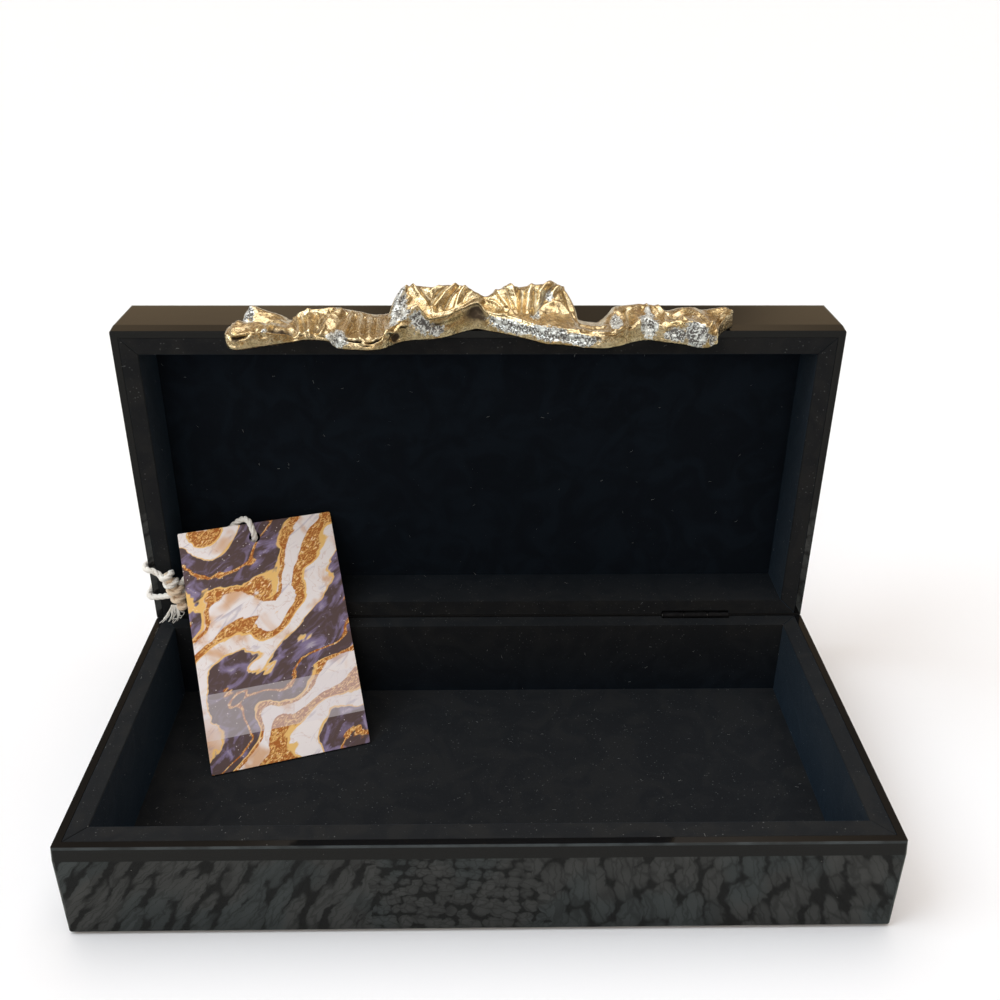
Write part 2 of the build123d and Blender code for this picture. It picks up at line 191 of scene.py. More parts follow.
class Shade(Graph):
    """A material under construction."""

    def __init__(self, name: str) -> None:
        """Starts a material.

        Args:
            name: The material's name.
        """
        self.material = bpy.data.materials.new(name)
        self.material.use_nodes = True
        super().__init__(self.material.node_tree)
        self.place = self.add("ShaderNodeTexCoord", output="Object")

    def attribute(self, name: str) -> Wire:
        """A number that the mesh carries."""
        return self.add("ShaderNodeAttribute", {"attribute_name": name}, output="Fac")

    def scaled(self, vector: Wire, size: Sequence[float], turn: float = 0.0) -> Wire:
        """A place stretched by axis and turned about Z, for a pattern with a grain."""
        return self.add("ShaderNodeMapping", None, {"Vector": vector, "Rotation": (0, 0, turn), "Scale": size})

    def noise(self, size_mm: float, detail: float = 3.0, warp: float = 0.0, at: Wire | None = None) -> Wire:
        """Noise whose lumps are about size_mm wide."""
        return self.add(
            "ShaderNodeTexNoise",
            None,
            {"Vector": at or self.place, "Scale": 1 / (size_mm * MM), "Detail": detail, "Distortion": warp},
        )

    def cells(self, size_mm: float, feature: str = "F1", at: Wire | None = None) -> Wire:
        """Distance to scattered points about size_mm apart."""
        return self.add(
            "ShaderNodeTexVoronoi", {"feature": feature}, {"Vector": at or self.place, "Scale": 1 / (size_mm * MM)}
        )

    def mix(self, share: Any, first: Any, second: Any) -> Wire:
        """Colour between two."""
        first = first if isinstance(first, Wire) else (*first, 1.0)
        second = second if isinstance(second, Wire) else (*second, 1.0)
        return self.add("ShaderNodeMix", {"data_type": "RGBA"}, {0: share, 6: first, 7: second}, output=2)

    def bump(self, height: Wire, depth_mm: float, strength: float = 1.0) -> Wire:
        """Normal bent by a height from 0 to 1 that stands for depth_mm."""
        return self.add("ShaderNodeBump", None, {"Height": height, "Distance": depth_mm * MM, "Strength": strength})

    def surface(self, **sockets: Any) -> Material:
        """Ends the material in a Principled shader.

        Args:
            **sockets: Socket values, with _ for a space in the name.

        Returns:
            The material.
        """
        inputs = {name.replace("_", " "): value for name, value in sockets.items()}
        shader = self.add("ShaderNodeBsdfPrincipled", None, inputs, output="BSDF")
        self.add("ShaderNodeOutputMaterial", None, {"Surface": shader})
        return self.material


# --- Finishes ---


@dataclass(frozen=True)
class Lacquer:
    """Black polished lacquer with polishing swirls, dust specks and dulled patches.

    The front edge is drawn paler in patches, a painted highlight, and rougher there; the bevels that make the
    hinge's groove are dull.
    """

    index: float = 1.42
    colour: tuple = (0.006, 0.006, 0.0065)
    dust: tuple = (0.32, 0.31, 0.29)
    arris_highlight: tuple = (0.050, 0.060, 0.066)
    arris_y_mm: float = -59.75
    arris_z_mm: float = 35.25
    seam_y_mm: float = 57.9
    seam_z_mm: tuple = (33.4, 36.6)

    def make(self) -> Material:
        """Builds the material."""
        shade = Shade("lacquer")
        _, y, z = shade.split(shade.place)
        # Painted highlight: a paler line, in patches, along the front edge of the base.
        front = 1 - y.step((self.arris_y_mm - 0.25) * MM, (self.arris_y_mm + 0.25) * MM)
        pale_and_lit = front * z.step((self.arris_z_mm - 0.2) * MM, (self.arris_z_mm + 0.2) * MM)
        pale_and_lit = pale_and_lit * (0.45 + shade.noise(9, 3).step(0.35, 0.65) * 0.55)
        breath = shade.noise(38, 3, 0.6).step(0.42, 0.72)
        swirl = shade.noise(0.9, 2, 0.0, shade.scaled(shade.place, (0.12, 1.0, 1.0), 0.5))
        speck = 1 - shade.cells(4.6).step(0.018, 0.034)
        speck = speck * shade.noise(21, 2).step(0.46, 0.6)
        low, high = (value * MM for value in self.seam_z_mm)
        seam = (y > self.seam_y_mm * MM) * (z > low) * (1 - (z > high))
        colour = shade.mix(speck * 0.55, shade.mix(pale_and_lit, self.colour, self.arris_highlight), self.dust)
        rough = (0.020 + breath * 0.030 + speck * 0.35 + pale_and_lit * 0.2).higher(seam)
        orange_peel = shade.bump(shade.noise(5.5, 1) * 0.7 + swirl * 0.08, 0.012)
        return shade.surface(Base_Color=colour, Roughness=rough, IOR=self.index, Normal=orange_peel)


@dataclass(frozen=True)
class BareBoard:
    """Unpainted board that only shows where nothing covers it."""

    dark: tuple = (0.10, 0.062, 0.035)
    light: tuple = (0.20, 0.13, 0.08)

    def make(self) -> Material:
        """Builds the material."""
        shade = Shade("bare_board")
        grain = shade.noise(2.2, 5, 0.4, shade.scaled(shade.place, (0.06, 1.0, 1.0)))
        return shade.surface(Base_Color=shade.mix(grain, self.dark, self.light), Roughness=0.62 + grain * 0.2)


@dataclass(frozen=True)
class Velvet:
    """Short-pile velvet: pile brushed in patches, rims and the tray floor paler, partly from wear and dust and
    partly as painted light where they face up, a sheen and lint.
    """

    name: str = "velvet"
    colour: tuple = (0.0018, 0.0034, 0.0064)
    brushed: tuple = (0.0042, 0.0082, 0.0140)
    pale_and_lit: tuple = (0.0165, 0.0162, 0.0160)
    lint: tuple = (0.26, 0.27, 0.27)
    sheen: float = 0.16

    def make(self) -> Material:
        """Builds the material."""
        shade = Shade(self.name)
        rim = shade.attribute("rim")
        pile = shade.noise(0.30, 3)
        stroke = shade.noise(15, 4, 1.4).step(0.38, 0.64)
        nap = shade.noise(0.8, 2, 0.0, shade.scaled(shade.place, (1.0, 0.35, 0.35)))
        speck = (1 - shade.cells(2.6).step(0.030, 0.060)) * shade.noise(8, 3).step(0.50, 0.66)
        fine = (1 - shade.cells(0.7).step(0.10, 0.22)) * shade.noise(1.5, 3).step(0.50, 0.66)
        cloth = shade.mix(stroke * 0.55 + pile * 0.25 + nap * 0.2, self.colour, self.brushed)
        # Paler where the rim attribute is set: partly wear and dust, partly painted light on the up-facing rims and
        # the tray floor.
        cloth = shade.mix(rim * (0.55 + stroke * 0.3 + pile * 0.15), cloth, self.pale_and_lit)
        dust = (1 - shade.cells(1.5).step(0.07, 0.15)) * shade.noise(7, 3).step(0.46, 0.60) * rim
        specks = speck * (0.25 + rim * 0.35) + fine * (0.03 + rim * 0.14) + dust * 0.45
        colour = shade.mix(specks.lower(0.8), cloth, self.lint)
        return shade.surface(
            Base_Color=colour,
            Roughness=0.84 + pile * 0.14,
            Specular_IOR_Level=0.12,
            Sheen_Weight=self.sheen,
            Sheen_Roughness=0.40,
            Sheen_Tint=(0.27, 0.47, 0.72, 1.0),
            Normal=shade.bump(pile * 0.5 + stroke * 0.3 + nap * 0.2, 0.16, 0.8),
        )


@dataclass(frozen=True)
class GiltCasting:
    """Polished gilding, worn to a bright pitted grey metal in patches and tarnished brown in its pockets; its
    grooves are darkened as painted shade, the lines of its creases partly by soiling and partly as painted shade,
    and its ridges are paler gold as a painted highlight.
    """

    gold: tuple = (0.61, 0.435, 0.20)
    pale_gold: tuple = (0.88, 0.72, 0.45)
    copper: tuple = (0.42, 0.20, 0.085)
    grey: tuple = (0.93, 0.96, 0.94)
    tarnish_and_shade: tuple = (0.036, 0.021, 0.017)

    def make(self) -> Material:
        """Builds the material."""
        shade = Shade("gilt_casting")
        worn = shade.attribute("worn")
        pocket = shade.attribute("pocket")
        edge = shade.attribute("edge")
        blotch = shade.noise(6.0, 4, 0.8)
        ragged = shade.noise(1.1, 4)
        bare = (worn + (ragged - 0.5) * 1.1).step(0.40, 0.60)
        pit = (shade.noise(0.62, 2) + pocket * 0.10).step(0.485, 0.52)
        pit = pit * (shade.noise(2.8, 2) + pocket * 0.2).step(0.36, 0.52)
        fine_pit = (1 - shade.cells(0.40).step(0.20, 0.42)) * shade.noise(1.2, 2).step(0.40, 0.6)
        gilding = shade.mix(blotch.step(0.35, 0.7), self.pale_gold, self.gold)
        gilding = shade.mix(shade.noise(5, 3, 1.5).step(0.54, 0.72) * 0.42, gilding, self.copper)
        # Painted highlight: near the drawn ridges (the edge attribute) the gilding is paler gold.
        gilding = shade.mix(edge * 0.7, gilding, self.pale_gold)
        metal = shade.mix(bare, gilding, self.grey)
        # Brown: tarnish in the listed pockets, and painted shade down the drawn grooves, which the pocket attribute
        # also holds.
        stain = (pocket * (1 - bare * 0.7) + (ragged - 0.5) * 0.5).step(0.30, 0.80)
        dirt_and_shade = stain.higher(bare * (pit * 0.95).higher(fine_pit * 0.6))
        rough = 0.14 + blotch * 0.16 + bare * 0.08 + dirt_and_shade * 0.3
        relief = (1 - bare * pit) * 0.7 + (1 - bare * fine_pit) * 0.3
        facets = shade.cells(3.1) * 0.9 + shade.cells(1.5) * 0.35
        foil = shade.noise(2.3, 3, 1.2) - 0.5
        fine_foil = shade.noise(1.1, 2, 0.8) - 0.5
        creased = (foil * foil).step(0.0, 0.0016) * 0.70 + (fine_foil * fine_foil).step(0.0, 0.0016) * 0.30
        # Dark lines in the foil's creases, partly soiling and partly painted shade.
        crease_grime_and_shade = (1 - creased) * (1 - edge) * (1 - bare) * 0.62
        hammer = shade.noise(2.6, 4, 0.6) * 0.9 + shade.noise(0.6, 2) * 0.3 + facets + creased * 0.20
        return shade.surface(
            Base_Color=shade.mix((dirt_and_shade * 0.94).higher(crease_grime_and_shade), metal, self.tarnish_and_shade),
            Metallic=1 - dirt_and_shade * 0.25 - bare * 0.40,
            Roughness=rough,
            Normal=shade.bump(relief + hammer, 0.20, 0.9),
        )


@dataclass(frozen=True)
class HingeMetal:
    """Drawn hinge metal, blackened and dulled."""

    name: str = "hinge_metal"
    colour: tuple = (0.014, 0.014, 0.015)
    dull: tuple = (0.005, 0.005, 0.0055)

    def make(self) -> Material:
        """Builds the material."""
        shade = Shade(self.name)
        stain = shade.noise(2.6, 4, 0.5).step(0.35, 0.7)
        lines = shade.noise(0.25, 2, 0.0, shade.scaled(shade.place, (0.05, 1.0, 1.0)))
        return shade.surface(
            Base_Color=shade.mix(stain, self.colour, self.dull),
            Metallic=1 - stain * 0.2,
            Roughness=0.42 + stain * 0.3 + lines * 0.08,
            Normal=shade.bump(lines, 0.02),
        )


@dataclass(frozen=True)
class MarbledCard:
    """Printed card: generic marbling in layers that repeat along a warped phase, and a paler strip.

    A band has the phase it follows, its share of one period from and to, and its paint. Each band
    is laid over those before it.
    """

    beige: tuple = (0.80, 0.50, 0.32)
    cream: tuple = (0.98, 0.91, 0.92)
    slate: tuple = (0.105, 0.066, 0.066)
    violet: tuple = (0.29, 0.23, 0.40)
    amber: tuple = (0.46, 0.135, 0.022)
    honey: tuple = (0.95, 0.60, 0.21)
    veil: tuple = (0.86, 0.80, 0.86)
    strip_mm: tuple = (12.0, 28.5)
    turn: float = -0.62
    rise: float = 0.82
    run: float = -0.57
    period_mm: float = 47.0
    offset: float = 0.30
    edge_softness: float = 0.006
    bands: tuple = (
        ("even", 0.600, 0.994, "dark"),
        ("even", 0.994, 1.200, "honey"),
        ("even", -0.200, 0.010, "honey"),
        ("wavy", 0.200, 0.360, "gold"),
        ("wavy", 0.185, 0.210, "honey"),
        ("even", 0.575, 0.605, "honey"),
        ("calm", 0.530, 0.580, "gold"),
        ("wavy", 0.740, 0.775, "gold"),
    )

    def make(self) -> Material:
        """Builds the material; the UV map is the card's own width and height in metres."""
        shade = Shade("marbled_card")
        card = shade.place.of("UV")
        across, height, _ = shade.split(card)
        flow = shade.scaled(shade.scaled(card, (1.0, 1.0, 1.0), self.turn), (0.50, 1.05, 1.0))
        streak = shade.scaled(flow, (0.50, 1.0, 1.0))
        sweep = shade.noise(44, 1, 0.5, card) - 0.5
        drift = shade.noise(13, 3, 0.8, flow) - 0.5
        torn = shade.noise(3.6, 5, 0.3, streak) - 0.5
        phase = (height * self.rise + across * self.run) / (self.period_mm * MM)
        phase = phase + sweep * 2.1 + drift * 0.36 + torn * 0.09 + self.offset
        band = shade.add("ShaderNodeMath", {"operation": "FRACT"}, {0: phase})
        width = (shade.noise(22, 2, 0.0, card) - 0.5) * 0.30
        smoke = shade.noise(9, 6, 2.2, flow)
        grain = shade.noise(1.5, 5, 2.4, flow)
        pale = shade.mix(shade.noise(16, 3, 0.5, card).step(0.50, 0.64), self.cream, self.beige)
        pale = shade.mix(shade.noise(5, 6, 2.0, streak).step(0.56, 0.70) * 0.40, pale, self.violet)
        crack = self._line(shade.noise(9, 5, 0.8, card), 0.5, 0.004, 0.010)
        pale = shade.mix(crack * 0.22, pale, self.amber)
        wisp = shade.noise(3.2, 5, 1.5, flow).step(0.52, 0.70)
        dark = shade.mix((smoke.step(0.48, 0.64) * 0.85 + wisp * 0.25).lower(1.0), self.slate, self.violet)
        dark = shade.mix(smoke.step(0.62, 0.72) * 0.35, dark, self.cream)
        gold = shade.mix(grain.step(0.44, 0.64), self.amber, self.honey)
        gold = shade.mix(grain.step(0.62, 0.70) * 0.8, gold, self.cream)
        phases = {"even": band, "wavy": band + width, "calm": band + width * 0.5}
        paints = {"dark": dark, "gold": gold, "honey": self.honey}
        colour = pale
        for follows, start, end, paint in self.bands:
            colour = shade.mix(self._band(phases[follows], start, end), colour, paints[paint])
        spark = (1 - shade.cells(1.9, at=card).step(0.08, 0.12)) * self._band(band, 0.58, 0.96)
        colour = shade.mix(spark * 0.7, colour, self.cream)
        low, high = (value * MM for value in self.strip_mm)
        colour = shade.mix((height > low) * (1 - (height > high)) * 0.36, colour, self.veil)
        fibre = shade.noise(0.35, 3)
        return shade.surface(
            Base_Color=colour,
            Roughness=0.40 + fibre * 0.12,
            Specular_IOR_Level=0.25,
            Normal=shade.bump(fibre, 0.02, 0.5),
        )

    def _band(self, value: Wire, low: float, high: float) -> Wire:
        """1 where a value lies between two, with a thin soft edge."""
        soft = self.edge_softness
        return value.step(low - soft, low + soft) * (1 - value.step(high - soft, high + soft))

    @staticmethod
    def _line(value: Wire, middle: float, inner: float, outer: float) -> Wire:
        """1 where a value is near its middle, 0 away from it."""
        gap = value - middle
        return 1 - (gap * gap).step(inner * inner, outer * outer)


@dataclass(frozen=True)
class CardCore:
    """Cut edge and back of the card."""

    colour: tuple = (0.62, 0.57, 0.50)
    fibres: tuple = (0.42, 0.37, 0.31)

    def make(self) -> Material:
        """Builds the material."""
        shade = Shade("card_core")
        fibre = shade.noise(0.5, 4)
        return shade.surface(Base_Color=shade.mix(fibre * 0.4, self.colour, self.fibres), Roughness=0.8)


@dataclass(frozen=True)
class Cotton:
    """Undyed cotton yarn, matt and soiled in patches; lint is drawn in it too."""

    name: str = "cotton"
    colour: tuple = (0.92, 0.91, 0.88)
    shadow: tuple = (0.50, 0.38, 0.27)

    def make(self) -> Material:
        """Builds the material."""
        shade = Shade(self.name)
        fibre = shade.noise(0.22, 4, 0.0, shade.scaled(shade.place, (1.0, 1.0, 0.5), 0.4))
        soil = shade.noise(6.5, 3).step(0.50, 0.74)
        return shade.surface(
            Base_Color=shade.mix(fibre * 0.20 + soil * 0.45, self.colour, self.shadow),
            Roughness=0.9,
            Sheen_Weight=0.25,
            Sheen_Roughness=0.5,
            Normal=shade.bump(fibre, 0.10, 0.8),
        )


class Finishes:
    """Every material of the box, made once."""

    def __init__(self) -> None:
        """Builds the materials."""
        self.lacquer = Lacquer().make()
        self.board = BareBoard().make()
        self.velvet = Velvet().make()
        self.felt = Velvet("felt", (0.012, 0.013, 0.012), (0.022, 0.023, 0.022), sheen=0.1).make()
        self.gilt = GiltCasting().make()
        self.hinge = HingeMetal().make()
        self.steel = HingeMetal("steel", (0.46, 0.46, 0.45), (0.20, 0.19, 0.18)).make()
        self.card = MarbledCard().make()
        self.card_core = CardCore().make()
        self.cotton = Cotton().make()
        self.stained_cotton = Cotton("stained_cotton", (0.84, 0.69, 0.52), (0.55, 0.36, 0.24)).make()
        self.lint = Cotton("lint", (0.30, 0.31, 0.31), (0.16, 0.16, 0.16)).make()


# --- Mesh helpers ---


def linked(name: str, data: bpy.types.ID) -> Piece:
    """A new object at the origin, linked to the scene."""
    made = bpy.data.objects.new(name, data)
    bpy.context.scene.collection.objects.link(made)
    return made


def mesh_object(
    name: str, points: Iterable[Sequence[float]], faces: Iterable[Sequence[int]], smooth: bool = True
) -> Piece:
    """Makes a mesh object at the origin.

    Args:
        name: The object's name.
        points: Vertex places, in metres.
        faces: Vertex numbers of each face.
        smooth: Whether its faces shade smooth.

    Returns:
        The object, linked to the scene.
    """
    mesh = bpy.data.meshes.new(name)
    mesh.from_pydata([tuple(p) for p in points], [], [tuple(f) for f in faces])
    mesh.update()
    mesh.validate()
    mesh.polygons.foreach_set("use_smooth", [smooth] * len(mesh.polygons))
    return linked(name, mesh)


def twin(source: Piece, name: str) -> Piece:
    """A free copy of a piece with its own mesh, linked to the scene."""
    made = source.copy()
    made.data = source.data.copy()
    made.name = name
    made.parent = None
    made.hide_render = made.hide_viewport = False
    for key in [key for key in made.keys() if key.startswith("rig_")]:
        del made[key]
    bpy.context.scene.collection.objects.link(made)
    return made


def dress(made: Piece, *materials: Material) -> Piece:
    """Replaces an object's materials."""
    made.data.materials.clear()
    for material in materials:
        made.data.materials.append(material)
    return made


def applied(made: Piece) -> Piece:
    """Turns an object's modifiers into its mesh."""
    result = bpy.data.meshes.new_from_object(made.evaluated_get(bpy.context.evaluated_depsgraph_get()))
    made.modifiers.clear()
    old = made.data
    made.data = result
    if isinstance(old, bpy.types.Mesh):
        bpy.data.meshes.remove(old)
    return made


def join(name: str, parts: Sequence[Piece]) -> Piece:
    """Joins meshes into one object."""
    bpy.ops.object.select_all(action="DESELECT")
    for part in parts:
        part.select_set(True)
    bpy.context.view_layer.objects.active = parts[0]
    if len(parts) > 1:
        bpy.ops.object.join()
    parts[0].name = name
    parts[0].data.name = name
    return parts[0]


def smooth_table(places: Sequence[float], values: Sequence[float], at: np.ndarray) -> np.ndarray:
    """Interpolates a table without overshoot.

    Args:
        places: Increasing places of the table.
        values: Values there.
        at: Places to read.

    Returns:
        Values at those places, on monotone cubics.
    """
    x, y = np.array(places, float), np.array(values, float)
    step, rise = np.diff(x), np.diff(y) / np.diff(x)
    slope = np.zeros(len(x))
    inner = (rise[:-1] * rise[1:]) > 0
    slope[1:-1] = np.where(inner, 2 * rise[:-1] * rise[1:] / np.where(inner, rise[:-1] + rise[1:], 1), 0)
    slope[0], slope[-1] = rise[0], rise[-1]
    cell = np.clip(np.searchsorted(x, at) - 1, 0, len(x) - 2)
    t = (at - x[cell]) / step[cell]
    h00, h10, h11 = 2 * t**3 - 3 * t**2 + 1, t**3 - 2 * t**2 + t, t**3 - t**2
    value = h00 * y[cell] + h10 * step[cell] * slope[cell]
    return value + (1 - h00) * y[cell + 1] + h11 * step[cell] * slope[cell + 1]


def frames_along(path: Sequence[Vector]) -> list[tuple[Vector, Vector, Vector]]:
    """Tangent and two cross directions at each point of a path, carried along without twist."""
    count = len(path)
    tangents = [(path[min(i + 1, count - 1)] - path[max(i - 1, 0)]).normalized() for i in range(count)]
    side = tangents[0].orthogonal().normalized()
    result = []
    for tangent in tangents:
        side = (side - tangent * side.dot(tangent)).normalized()
        result.append((tangent, side, tangent.cross(side)))
    return result


def tube(name: str, path: Sequence[Vector], radius: Callable[[float], float], sides: int) -> Piece:
    """A closed tube along a path.

    Args:
        name: The object's name.
        path: Centre points, in metres.
        radius: Radius by share of the length.
        sides: Faces round it.

    Returns:
        The tube.
    """
    rings, faces = [], []
    for index, (centre, (_, across, up)) in enumerate(zip(path, frames_along(path))):
        reach = radius(index / (len(path) - 1))
        for turn in range(sides):
            angle = 2 * math.pi * turn / sides
            rings.append(centre + (across * math.cos(angle) + up * math.sin(angle)) * reach)
    for index in range(len(path) - 1):
        for turn in range(sides):
            low, high = index * sides, (index + 1) * sides
            beside = (turn + 1) % sides
            faces.append((low + turn, low + beside, high + beside, high + turn))
    faces.append(tuple(reversed(range(sides))))
    faces.append(tuple(range((len(path) - 1) * sides, len(path) * sides)))
    return mesh_object(name, rings, faces)


# --- Strings ---


@dataclass
class TagPlace:
    """Where the tag stands, as the frame has it."""

    width_mm: float = 58.0
    height_mm: float = 90.0
    thickness_mm: float = 0.8
    turn_deg: float = 17.3
    lean_deg: float = 41.5
    foot_mm: tuple = (-69.1, 11.0, 5.83)
    hole_radius_mm: float = 2.1
    hole_drop_mm: float = 5.6
    hole_offset_mm: float = -1.0

    def axes(self) -> tuple[Vector, Vector, Vector]:
        """Across the card, up it, and off its printed face."""
        turn, lean = math.radians(self.turn_deg), math.radians(self.lean_deg)
        across = Vector((math.cos(turn), math.sin(turn), 0))
        off = Vector((math.sin(turn) * math.cos(lean), -math.cos(turn) * math.cos(lean), math.sin(lean)))
        return across, off.cross(across), off

    def point(self, across_mm: float, up_mm: float, off_mm: float = 0.0) -> Vector:
        """A point of the card in millimetres, from the middle of its lower edge."""
        across, up, off = self.axes()
        return Vector(self.foot_mm) + across * across_mm + up * up_mm + off * off_mm

    def by_hole(self, across_mm: float, up_mm: float, off_mm: float) -> Vector:
        """A point in millimetres from the middle of the hole."""
        return self.point(self.hole_offset_mm + across_mm, self.height_mm - self.hole_drop_mm + up_mm, off_mm)


class Route:
    """A cord's line: a NURBS spline drawn by given control points."""

    order: int = 3
    resolution: int = 24

    def __init__(self, name: str, points_mm: Sequence[Sequence[float]]) -> None:
        """Makes the spline.

        Args:
            name: The route's name.
            points_mm: Control points in millimetres.
        """
        curve = bpy.data.curves.new(name, "CURVE")
        curve.dimensions = "3D"
        curve.resolution_u = self.resolution
        spline = curve.splines.new("NURBS")
        spline.points.add(len(points_mm) - 1)
        for point, place in zip(spline.points, points_mm):
            point.co = (*(Vector(place) * MM), 1.0)
        spline.order_u = self.order
        spline.use_endpoint_u = True
        self.holder = linked(name, curve)

    def follow(self, step_mm: float) -> list[Vector]:
        """Evenly spaced points along the spline, in metres; the spline itself is then removed."""
        bpy.context.view_layer.update()
        line = bpy.data.meshes.new_from_object(self.holder.evaluated_get(bpy.context.evaluated_depsgraph_get()))
        raw = np.array([v.co for v in line.vertices], float)
        bpy.data.meshes.remove(line)
        bpy.data.objects.remove(self.holder)
        along = np.concatenate([[0], np.cumsum(np.linalg.norm(np.diff(raw, axis=0), axis=1))])
        count = max(8, int(along[-1] / (step_mm * MM)))
        reads = np.linspace(0, along[-1], count)
        return [Vector(place) for place in zip(*(np.interp(reads, along, raw[:, axis]) for axis in range(3)))]


def path_length(path: Sequence[Vector]) -> float:
    """Length of a line of points."""
    return sum((b - a).length for a, b in zip(path, path[1:]))


@dataclass
class Yarn:
    """A plied cotton string and how it is laid up; fullness presses the plies into each other."""

    diameter_mm: float = 2.4
    plies: int = 3
    pitch_mm: float = 7.5
    fullness: float = 1.16
    step_mm: float = 0.35
    sides: int = 10

    def lay(self, name: str, path: Sequence[Vector]) -> Piece:
        """Twists the plies round a path.

        Args:
            name: The object's name.
            path: The string's centre line.

        Returns:
            One mesh of all the plies.
        """
        radius = self.diameter_mm / 2 * MM
        ply = radius / (1 + 1 / math.sin(math.pi / self.plies)) * self.fullness
        reach = radius - ply
        frames = frames_along(path)
        parts = []
        for number in range(self.plies):
            line, run = [], 0.0
            for index, (centre, (_, across, up)) in enumerate(zip(path, frames)):
                run += (centre - path[index - 1]).length if index else 0.0
                angle = 2 * math.pi * (run / (self.pitch_mm * MM) + number / self.plies)
                line.append(centre + (across * math.cos(angle) + up * math.sin(angle)) * reach)
            parts.append(tube(f"{name}_ply_{number}", line, lambda share: ply, self.sides))
        return join(name, parts)


class GeometryTree(Graph):
    """A geometry node tree with named inputs, applied once and removed."""

    def __init__(self, name: str, inputs: dict[str, tuple[str, Any]]) -> None:
        """Starts the tree.

        Args:
            name: The tree's name.
            inputs: Socket type and value of each named input.
        """
        self.values = {key: value for key, (_, value) in inputs.items()}
        tree = bpy.data.node_groups.new(name, "GeometryNodeTree")
        tree.interface.new_socket("Geometry", in_out="OUTPUT", socket_type="NodeSocketGeometry")
        tree.interface.new_socket("Surface", in_out="INPUT", socket_type="NodeSocketGeometry")
        for key, (kind, _) in inputs.items():
            tree.interface.new_socket(key, in_out="INPUT", socket_type=kind)
        super().__init__(tree)
        self.given = self.add("NodeGroupInput")

    def read(self, name: str) -> Wire:
        """One of the tree's inputs."""
        return self.given.of(name)

    def end(self, instances: Wire, material: Material) -> None:
        """Closes the tree in Realize Instances and Set Material."""
        solid = self.add("GeometryNodeRealizeInstances", None, {"Geometry": instances})
        painted = self.add("GeometryNodeSetMaterial", None, {"Geometry": solid, "Material": material})
        self.add("NodeGroupOutput", None, {"Geometry": painted})

    def run(self, name: str, surface: Piece) -> Piece:
        """Applies the tree to a copy of a surface.

        Args:
            name: The new object's name.
            surface: The mesh it grows on.

        Returns:
            The plain mesh that it makes.
        """
        made = twin(surface, name)
        modifier = made.modifiers.new("grow", "NODES")
        modifier.node_group = self.tree
        for item in self.tree.interface.items_tree:
            if item.item_type == "SOCKET" and item.in_out == "INPUT" and item.name in self.values:
                modifier[item.identifier] = self.values[item.name]
        bpy.context.view_layer.update()
        return applied(made)


@dataclass
class FibreScatter:
    """Short curved fibres scattered flat on a surface by a seeded tree.

    A fibre is drawn one unit long, then scaled to its length; thickness is a share of that.
    """

    density: float
    length_mm: tuple
    seed: int
    thickness: float = 0.035
    handle_out: tuple = (0.3, 0.25, 0.0)
    handle_in: tuple = (0.7, -0.2, 0.0)
    end: tuple = (1.0, 0.1, 0.0)
    rings: int = 6
    sides: int = 3

    def grow(self, name: str, surface: Piece, material: Material) -> Piece:
        """Grows the fibres.

        Args:
            name: The new object's name.
            surface: What they lie on.
            material: Their finish.

        Returns:
            One mesh of all the fibres.
        """
        shortest, longest = (length * MM for length in self.length_mm)
        sizes = {"Density": self.density, "Shortest": shortest, "Longest": longest, "Thickness": self.thickness}
        inputs = {key: ("NodeSocketFloat", size) for key, size in sizes.items()}
        graph = GeometryTree(f"{name}_tree", {**inputs, "Seed": ("NodeSocketInt", self.seed)})
        read = graph.read
        spread = graph.add(
            "GeometryNodeDistributePointsOnFaces",
            None,
            {"Mesh": read("Surface"), "Density": read("Density"), "Seed": read("Seed")},
        )
        bow = {"Start": (0, 0, 0), "Start Handle": self.handle_out, "End Handle": self.handle_in, "End": self.end}
        curl = graph.add(
            "GeometryNodeCurvePrimitiveBezierSegment", {"mode": "POSITION"}, {"Resolution": self.rings, **bow}
        )
        ring = {"Resolution": self.sides, "Radius": read("Thickness")}
        profile = graph.add("GeometryNodeCurvePrimitiveCircle", None, ring)
        fibre = graph.add(
            "GeometryNodeCurveToMesh", None, {"Curve": curl, "Profile Curve": profile, "Fill Caps": True}
        )
        size = self._random(graph, read("Shortest"), read("Longest"), read("Seed"))
        spin = self._random(graph, 0.0, 2 * math.pi, read("Seed") + 1)
        turned = graph.add(
            "FunctionNodeRotateEuler",
            {"rotation_type": "AXIS_ANGLE", "space": "LOCAL"},
            {"Rotation": spread.of("Rotation"), "Axis": (0, 0, 1), "Angle": spin},
        )
        laid = {"Points": spread, "Instance": fibre, "Rotation": turned, "Scale": size}
        graph.end(graph.add("GeometryNodeInstanceOnPoints", None, laid), material)
        return graph.run(name, surface)

    @staticmethod
    def _random(graph: GeometryTree, low: Any, high: Any, seed: Wire) -> Wire:
        """A random number for each fibre, between two."""
        return graph.add("FunctionNodeRandomValue", {"data_type": "FLOAT"}, {2: low, 3: high, "Seed": seed}, 1)


